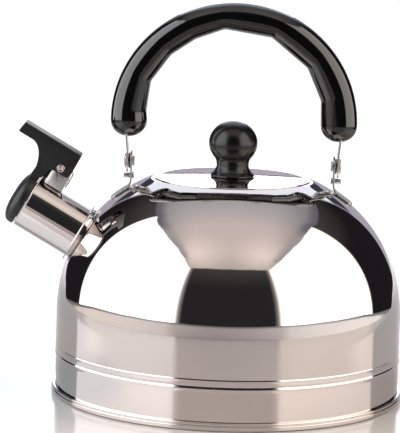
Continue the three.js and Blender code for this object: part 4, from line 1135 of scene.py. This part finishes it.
# %% [markdown]
# A strap runs from the pivot up into the grip. It leans out a little between two gentle bends, and
# its lower end is half round.

# %% Straps
STRAP_HALF, STRAP_BEND_ABOVE, STRAP_OUTSET, SLOT_DEPTH = 6.6, 6.8, 0.6, 17
GRIP_ABOVE, GRIP_HALF, GRIP_RISE, GRIP_THICKNESS, GRIP_DEPTH = 23.6, 71.1, 69.4, 21.2, 22
GRIP_END, STRAP_SCREW = 9.5, 1.25
grip_centre = pivot + GRIP_ABOVE
grip_bottom = grip_centre - GRIP_END
strap_end_x = GRIP_HALF - GRIP_THICKNESS / 2 + STRAP_OUTSET


def strap_strip(name):
    """The right strap, drawn from its round lower end upwards."""
    path = rounded([
        (strap_x, pivot, 0), (strap_x, pivot + STRAP_BEND_ABOVE, 4),
        (strap_end_x, grip_bottom, 4), (strap_end_x, grip_bottom + SLOT_DEPTH, 0),
    ], 6)
    turns = np.linspace(math.pi / 2, 0, TOP_STEPS + 1)[:-1]
    ends = [(strap_x, pivot - STRAP_HALF * math.sin(turn)) for turn in turns]
    widths = [max(STRAP_HALF * math.cos(turn), LEAST_HALF) for turn in turns]
    line = (ends + path)[::-1]
    halves = (widths + [STRAP_HALF] * len(path))[::-1]
    loops = [strip_loop(point, through_of(line, i), halves[i], STRAP_THICKNESS)
             for i, point in enumerate(line)]
    strap = skin(name, loops, rolled)
    for radius, z in ((RIVET_RADIUS, pivot), (STRAP_SCREW, grip_centre)):
        cut_with(strap, rod("hole", radius + FIT, *STRAP_DRILL, rolled, (0, 0, z), AS_X))
    return shaded(strap)


on_both_sides(strap_strip, "strap_strip", "handle", "plain_steel", "strap")

# %% [markdown]
# ## Grip
# The grip is the part that the hand knows best: a thick black bar bent to a half ring, with round
# ends, and flat facets inside for the fingers. Its section is a superellipse between the outer
# and the inner radius. The inner radius follows straight chords between the facets' corners.

# %% Grip
SQUARENESS, SCOOP = 2.3, 4.3  # power of the section, depth of the deepest facet
FACETS = [(0, 0), (0.025, 0), (0.09, 0.37), (0.214, 0.65), (0.377, 0.88), (0.539, 1),
          (0.644, 0.72), (0.744, 0.77), (0.858, 0.79), (0.964, 0.19), (1, 0)]
GRIP_SIDES, GRIP_STATIONS, CAP_STATIONS = 72, 300, 16
POLE_GAP, SOFT_SAMPLES = 0.3, 3
SOFTENING, GRIP_CREASE = math.radians(1.1), math.radians(50)
DRILL_START, SCREW_PAST_STRAP, SCREW_HEAD, HEAD_FLOOR = 40, 3.8, 2.8, 52.1
grip_inner = GRIP_HALF - GRIP_THICKNESS
facet_corners = [(share_round * math.pi, grip_inner + SCOOP * depth)
                 for share_round, depth in FACETS]


def chord_radius(turn):
    """Inner radius of the grip on the straight chord between two facet corners."""
    turn = min(max(turn, 0), math.pi)
    for (a, ra), (b, rb) in zip(facet_corners, facet_corners[1:]):
        if turn <= b:
            return ra * rb * math.sin(b - a) / (ra * math.sin(turn - a) + rb * math.sin(b - turn))
    return grip_inner


def inner_radius(turn):
    """The same, with each corner softened as a moulding tool leaves it."""
    samples = range(-SOFT_SAMPLES, SOFT_SAMPLES + 1)
    return sum(chord_radius(turn + SOFTENING * k / SOFT_SAMPLES) for k in samples) / len(samples)


def grip_loop(turn, drop, scale):
    """One section of the grip, square to the half ring."""
    outer = GRIP_HALF * GRIP_RISE / math.hypot(GRIP_RISE * math.cos(turn),
                                               GRIP_HALF * math.sin(turn))
    middle, reach = (outer + inner_radius(turn)) / 2, (outer - inner_radius(turn)) / 2
    loop = []
    for k in range(GRIP_SIDES):
        c, s = (f(2 * math.pi * (k + 0.5) / GRIP_SIDES) for f in (math.cos, math.sin))
        across = math.copysign(abs(c) ** (2 / SQUARENESS), c) * reach * scale
        depth = math.copysign(abs(s) ** (2 / SQUARENESS), s) * GRIP_DEPTH / 2 * scale
        loop.append(((middle + across) * math.cos(turn), depth,
                     grip_centre + (middle + across) * math.sin(turn) - drop))
    return loop


end_turns = [math.pi / 2 * i / (CAP_STATIONS + POLE_GAP) for i in range(CAP_STATIONS, 0, -1)]
loops = [grip_loop(0, GRIP_END * math.sin(turn), math.cos(turn)) for turn in end_turns]
loops += [grip_loop(math.pi * i / GRIP_STATIONS, 0, 1) for i in range(GRIP_STATIONS + 1)]
loops += [grip_loop(math.pi, GRIP_END * math.sin(turn), math.cos(turn))
          for turn in end_turns[::-1]]
grip = skin("bail_grip", loops, phenolic, GRIP_CREASE)
screw_end = strap_end_x + STRAP_THICKNESS + SCREW_PAST_STRAP
for turn in (0, math.pi):
    cutters = [box("slot", (strap_end_x - FIT, strap_end_x + STRAP_THICKNESS + FIT),
                   (-STRAP_HALF - FIT, STRAP_HALF + FIT),
                   (grip_bottom - OVERSHOOT, grip_bottom + SLOT_DEPTH + FIT))]
    cutters += [rod("drill", bore, DRILL_START, end, phenolic, (0, 0, grip_centre), AS_X)
                for bore, end in ((STRAP_SCREW + FIT, screw_end), (SCREW_HEAD, HEAD_FLOOR))]
    for cutter in cutters:
        cutter.data.transform(Matrix.Rotation(turn, 4, "Z"))
        cut_with(grip, cutter)
shaded(grip, GRIP_CREASE)
dress(grip, "handle", "bakelite", "handle_grip")

# %% [markdown]
# ## Spout
# The spout is a short tube with a turned-over mouth. A flange sits on the dome round it and hides
# the pierced edge.

# %% Spout tube
SEAT_CHECKS, SEAT_GAP = 64, 0.005


def seat_on_dome(radius):
    """The lowest place along the tube where a ring of this radius clears the dome."""
    highest = 0
    for turn in np.linspace(0, 2 * math.pi, SEAT_CHECKS, endpoint=False):
        low, high = -radius, radius
        while high - low > SEAT_GAP:
            middle = (low + high) / 2
            on_ring = Vector((radius * math.cos(turn), radius * math.sin(turn), middle))
            x, y, z = (spout_frame @ (on_ring * MM)) / MM
            around_axis = math.hypot(x, y)
            inside = around_axis < BODY_RADIUS and z < dome_height(around_axis)
            low, high = (middle, high) if inside else (low, middle)
        highest = max(highest, high)
    return highest


bore = SPOUT_RADIUS - SHEET
flange_seat = seat_on_dome(SPOUT_RADIUS + FIT) + FIT
spout_line = rounded([
    (bore, 0, 0), (bore, -SPOUT_ROOT_DEPTH, 0.2), (SPOUT_RADIUS, -SPOUT_ROOT_DEPTH, 0.2),
    (SPOUT_RADIUS, flange_seat, 0), (FLANGE_RADIUS, flange_seat, 0.25),
    (FLANGE_RADIUS, flange_seat + FLANGE_THICKNESS, 0.25),
    (SPOUT_RADIUS, flange_seat + FLANGE_THICKNESS, 0.4), (SPOUT_RADIUS, SPOUT_LENGTH, 0.28),
    (bore, SPOUT_LENGTH, 0.28), (bore, 0, 0),
])
spout = turned("spout_pipe", spout_line, buffed, 160, SPOUT_ROOT, ALONG_SPOUT)
dress(spout, "root", "polished_steel", "spout_tube")
print("spout mouth at", [round(part / MM, 1) for part in
                         spout_frame @ Vector((0, 0, SPOUT_LENGTH * MM))])
low_node, high_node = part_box("spout_tube")
print("CAD spout box", [round(part / MM, 1) for part in (*low_node, *high_node)])

# %% [markdown]
# ## Lever hinge
# The bracket is folded from sheet. Its CAD form is already right, so a copy of that mesh is
# welded, cleared of needless edges and given small rounded folds with a bevel.

# %% Bracket
def softened_copy(node, name, width, material):
    """A welded copy of a CAD node with bevelled edges."""
    made = shown(name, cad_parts[node].data.copy())
    made.data.materials.clear()
    made.data.materials.append(material)
    mesh = bmesh.new()
    mesh.from_mesh(made.data)
    bmesh.ops.remove_doubles(mesh, verts=mesh.verts, dist=0.002 * MM)
    bmesh.ops.dissolve_limit(mesh, angle_limit=math.radians(1), verts=mesh.verts,
                             edges=mesh.edges)
    mesh.to_mesh(made.data)
    mesh.free()
    return shaded(bevelled(made, width, 3, 30))


bracket = softened_copy("hinge_bracket", "folded_bracket", 0.22, rolled)
dress(bracket, "root", "plain_steel", "hinge_bracket")

# %% [markdown]
# The pin is a tubular rivet with rolled heads, so its ends show a dark hole in a bright ring. The
# spring is one length of wire: up behind the bracket, round the pin and out under the thumb bar.
# A second tree sweeps a round wire along its route.

# %% Pin
PIN_RADIUS, PIN_HEAD, PIN_HEAD_HEIGHT, PIN_HOLLOW, PIN_HOLLOW_DEPTH = 1.2, 2.3, 0.75, 0.6, 1.6
LEVER_HALF = 7
half = LEVER_HALF + FIT
pin_end = half + PIN_HEAD_HEIGHT
pin_side = [(0, pin_end - PIN_HOLLOW_DEPTH, 0), (PIN_HOLLOW, pin_end - PIN_HOLLOW_DEPTH, 0.2),
            (PIN_HOLLOW, pin_end, 0.7), (PIN_HEAD, pin_end, 0.7), (PIN_HEAD, half, 0.05),
            (PIN_RADIUS, half, 0)]
pin_line = rounded([(x, -z, fillet) for x, z, fillet in pin_side]
                   + [(x, z, fillet) for x, z, fillet in pin_side[::-1]], 5)
pin = turned("hinge_rivet", pin_line, buffed, SMALL_SEGMENTS, tuple(hinge_place), AS_Y)
dress(pin, "root", "plain_steel", "hinge_pin")

# %% Spring
WIRE, COIL, PITCH, TURNS, ARM = 0.8, 2.2, 1.35, 2.75, 7.2
BRACKET_BACK, HEEL = 7.4, 0.75
COIL_STEPS = 64

wire_tree, given = shape_tree("Wire along a route", {
    "Route": "Geometry", "Wire radius": "Float", "Sides": "Int", "Finish": "Material",
})
route_curve = add(wire_tree, "GeometryNodeMeshToCurve", {0: given["Route"]})
section = add(wire_tree, "GeometryNodeCurvePrimitiveCircle", {
    "Resolution": given["Sides"], "Radius": given["Wire radius"],
})
wire = add(wire_tree, "GeometryNodeCurveToMesh", {
    "Curve": route_curve.outputs[0], "Profile Curve": section.outputs[0], "Fill Caps": True,
})
soft_wire = add(wire_tree, "GeometryNodeSetShadeSmooth", {"Geometry": wire.outputs[0]})
end_shape(wire_tree, soft_wire.outputs[0], given["Finish"])

coil_width, behind = PITCH * TURNS, BRACKET_BACK + HEEL
foot_up = -HINGE_UP + FIT + WIRE * 3
route = [(up, -coil_width / 2, along) for up, along in rounded([
    (foot_up, -behind, 0), (COIL * 0.3, -behind, 3), (COIL, -behind * 0.5, 2), (COIL, 0, 0),
], 8)]
route += [(COIL * math.cos(turn), coil_width * (turn / (2 * math.pi * TURNS) - 0.5),
           COIL * math.sin(turn))
          for turn in np.linspace(0, 2 * math.pi * TURNS, COIL_STEPS * 2)[1:]]
route += [(ARM * share_up, coil_width / 2, -COIL) for share_up in (0.3, 0.6, 1)]
spring = new_object("torsion_spring", route, [(i, i + 1) for i in range(len(route) - 1)])
grow(spring, wire_tree, Wire_radius=WIRE / 2 * MM, Sides=12, Finish=rolled)
spring.data.transform(hinge_frame)
dress(spring, "root", "plain_steel", "hinge_spring")

# %% [markdown]
# ## Whistle lever
# The lever is one moulding: a thumb bar, two cheeks on the pin, and a neck that runs down into a
# domed cap over the mouth. The side view is drawn once, from lengths and shares of them, then given
# its width and rounded with a bevel. The cap is turned and joined on, and the hollows are cut last.

# %% Lever
LEVER_TOP, LEVER_TIP, TIP_THICKNESS, TIP_LEAN, LEVER_HEEL = 12.4, 31, 6.6, 1, 6.6
BAR_THICKNESS, CHEEK, NECK_HOLLOW, NECK_FRONT = 3.8, 1.8, 7, 12.9
CHEEK_DROP, TOE_DROP, LEVER_ROUND = 3.3, 10.8, 1.0
CAP_RADIUS, CAP_THICKNESS, CAP_POWER, CAP_ROOT, CAP_OUTLET = 15.9, 8.2, 2.6, 12, 2.6
CAP_EDGE, CAP_STRAIGHT, CAP_STEPS = 0.5, 0.2, 28
BRIM_SHEET, CUP_RADIUS, CUP_DEPTH, PIN_HOLE_HALF = 0.5, 11.6, 5.2, 9
mouth = HINGE_BACK
brim = mouth + FIT
cap_back = brim + BRIM_SHEET + FIT
cap_face = cap_back + CAP_THICKNESS
SPOUT_AXIS = (-hinge_height, 0, 0)  # where the spout's axis lies in the hinge's frame


def bezier(a, b, c, d, steps=24):
    """Points on a cubic curve after its first one."""
    return [tuple((1 - t) ** 3 * np.array(a) + 3 * (1 - t) ** 2 * t * np.array(b)
                  + 3 * (1 - t) * t ** 2 * np.array(c) + t ** 3 * np.array(d))
            for t in np.linspace(0, 1, steps + 1)[1:]]


under_tip, toe = LEVER_TOP - TIP_THICKNESS, -TOE_DROP
side_view = rounded([
    (0, -LEVER_HEEL * 1.05, 0), (LEVER_TOP, -LEVER_HEEL, 0.8), (LEVER_TOP, LEVER_TIP, 0.9),
    (under_tip, LEVER_TIP + TIP_LEAN, 0.9), (under_tip, (LEVER_TIP + NECK_FRONT) / 2, 0),
], 5)
side_view += bezier(
    (under_tip, (LEVER_TIP + NECK_FRONT) / 2),
    (under_tip * 0.85, NECK_FRONT + TIP_THICKNESS * 0.6),
    (toe * 0.1, NECK_FRONT + TIP_THICKNESS * 0.15), (toe * 0.6, NECK_FRONT))
side_view += rounded([
    (toe * 0.6, NECK_FRONT, 0), (toe, NECK_FRONT, 2),
    (toe - CAP_ROOT, (NECK_FRONT + cap_face) / 2, 0),
    (toe - CAP_ROOT, cap_back, 0), (toe, cap_back, 0), (toe, mouth, 0.5),
    (-CHEEK_DROP * 1.5, mouth * 0.87, 0.8), (-CHEEK_DROP, mouth * 0.6, 1),
    (-CHEEK_DROP, -LEVER_HEEL * 0.9, 0.8), (0, -LEVER_HEEL * 1.05, 0),
], 5)[1:-1]

count_side = len(side_view)
lever = new_object("whistle_arm", [(x, y, z) for y in (-LEVER_HALF, LEVER_HALF)
                                   for x, z in side_view], (), [
    tuple(range(count_side)), tuple(range(2 * count_side - 1, count_side - 1, -1)),
    *[(i, i + count_side, (i + 1) % count_side + count_side, (i + 1) % count_side)
      for i in range(count_side)],
])
lever.data.materials.append(satin_black)
bevelled(lever, LEVER_ROUND, 4, 60)

cap_line = [(0, cap_back), (CAP_RADIUS - CAP_EDGE, cap_back), (CAP_RADIUS, cap_back + CAP_EDGE)]
straight = CAP_THICKNESS * CAP_STRAIGHT
for turn in np.linspace(0, math.pi / 2, CAP_STEPS):
    cap_line.append((CAP_RADIUS * max(math.cos(turn), 0) ** (2 / CAP_POWER),
                     cap_back + straight
                     + (CAP_THICKNESS - straight) * math.sin(turn) ** (2 / CAP_POWER)))
cap_line[-1] = (0, cap_line[-1][1])

cavity_end = brim + CUP_DEPTH + FIT
cap = turned("cap", cap_line, satin_black, 128, SPOUT_AXIS)
cut_with(lever, cap, "UNION")
for cutter in (
    box("hollow", (-hinge_height, LEVER_TOP - BAR_THICKNESS),
        (CHEEK - LEVER_HALF, LEVER_HALF - CHEEK), (-LEVER_HEEL - LEVER_TIP, NECK_HOLLOW)),
    rod("cavity", CUP_RADIUS + FIT, 0, cavity_end, satin_black, SPOUT_AXIS, segments=96),
    rod("outlet", CAP_OUTLET, 0, cap_face + OVERSHOOT, satin_black, SPOUT_AXIS),
    rod("pin_hole", PIN_RADIUS + FIT, -PIN_HOLE_HALF, PIN_HOLE_HALF, satin_black, lean=AS_Y),
):
    cut_with(lever, cutter)
lever.data.transform(hinge_frame)
shaded(lever)
dress(lever, "whistle", "lever_plastic", "whistle_lever")

# %% [markdown]
# Inside the cap sits the whistle itself: a bright pressed cup whose brim shows as a thin line
# between the cap and the mouth. Its second plate stays as CAD made it.

# %% Whistle cup
BRIM_RADIUS, WHISTLE_HOLE = 15.3, 1.6
floor_of_cup = brim + CUP_DEPTH
cup_in = CUP_RADIUS - BRIM_SHEET
cup_line = rounded([
    (cup_in, brim + 1, 0), (cup_in, brim, 0.4), (BRIM_RADIUS, brim, 0.2),
    (BRIM_RADIUS, brim + BRIM_SHEET, 0.2), (CUP_RADIUS, brim + BRIM_SHEET, 0.2),
    (CUP_RADIUS, floor_of_cup, 0.6), (WHISTLE_HOLE, floor_of_cup, 0.1),
    (WHISTLE_HOLE, floor_of_cup - BRIM_SHEET, 0.1), (cup_in, floor_of_cup - BRIM_SHEET, 0.3),
    (cup_in, brim + 1, 0),
])
cup = turned("whistle_brim", cup_line, buffed, 128, SPOUT_AXIS)
cup.data.transform(hinge_frame)
dress(cup, "whistle", "polished_steel", "whistle_cup")

# %% [markdown]
# ## Parts kept from CAD
# Screws, insert and the whistle's inner plate have the right shape already. They are only seen
# from below or inside, so they keep their CAD meshes and get their material.

# %% Kept nodes
KEPT = {
    "knob_insert": turned_brass, "knob_screw": rolled, "knob_washer": rolled,
    "strap_screw_left": rolled, "strap_screw_right": rolled, "whistle_disc": rolled,
}
for node_name, material in KEPT.items():
    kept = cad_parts[node_name]
    for slot_place in kept.material_slots:
        slot_place.material = material
print("kept from CAD:", ", ".join(KEPT))

# %% [markdown]
# ## Last look at the sizes
# The CAD box and the finished box are printed side by side.

# %% Sizes and finish
finished_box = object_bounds()
for cad_corner, own_corner in zip(cad_box, finished_box):
    print("CAD", [round(part / MM, 2) for part in cad_corner],
          "finished", [round(part / MM, 2) for part in own_corner])
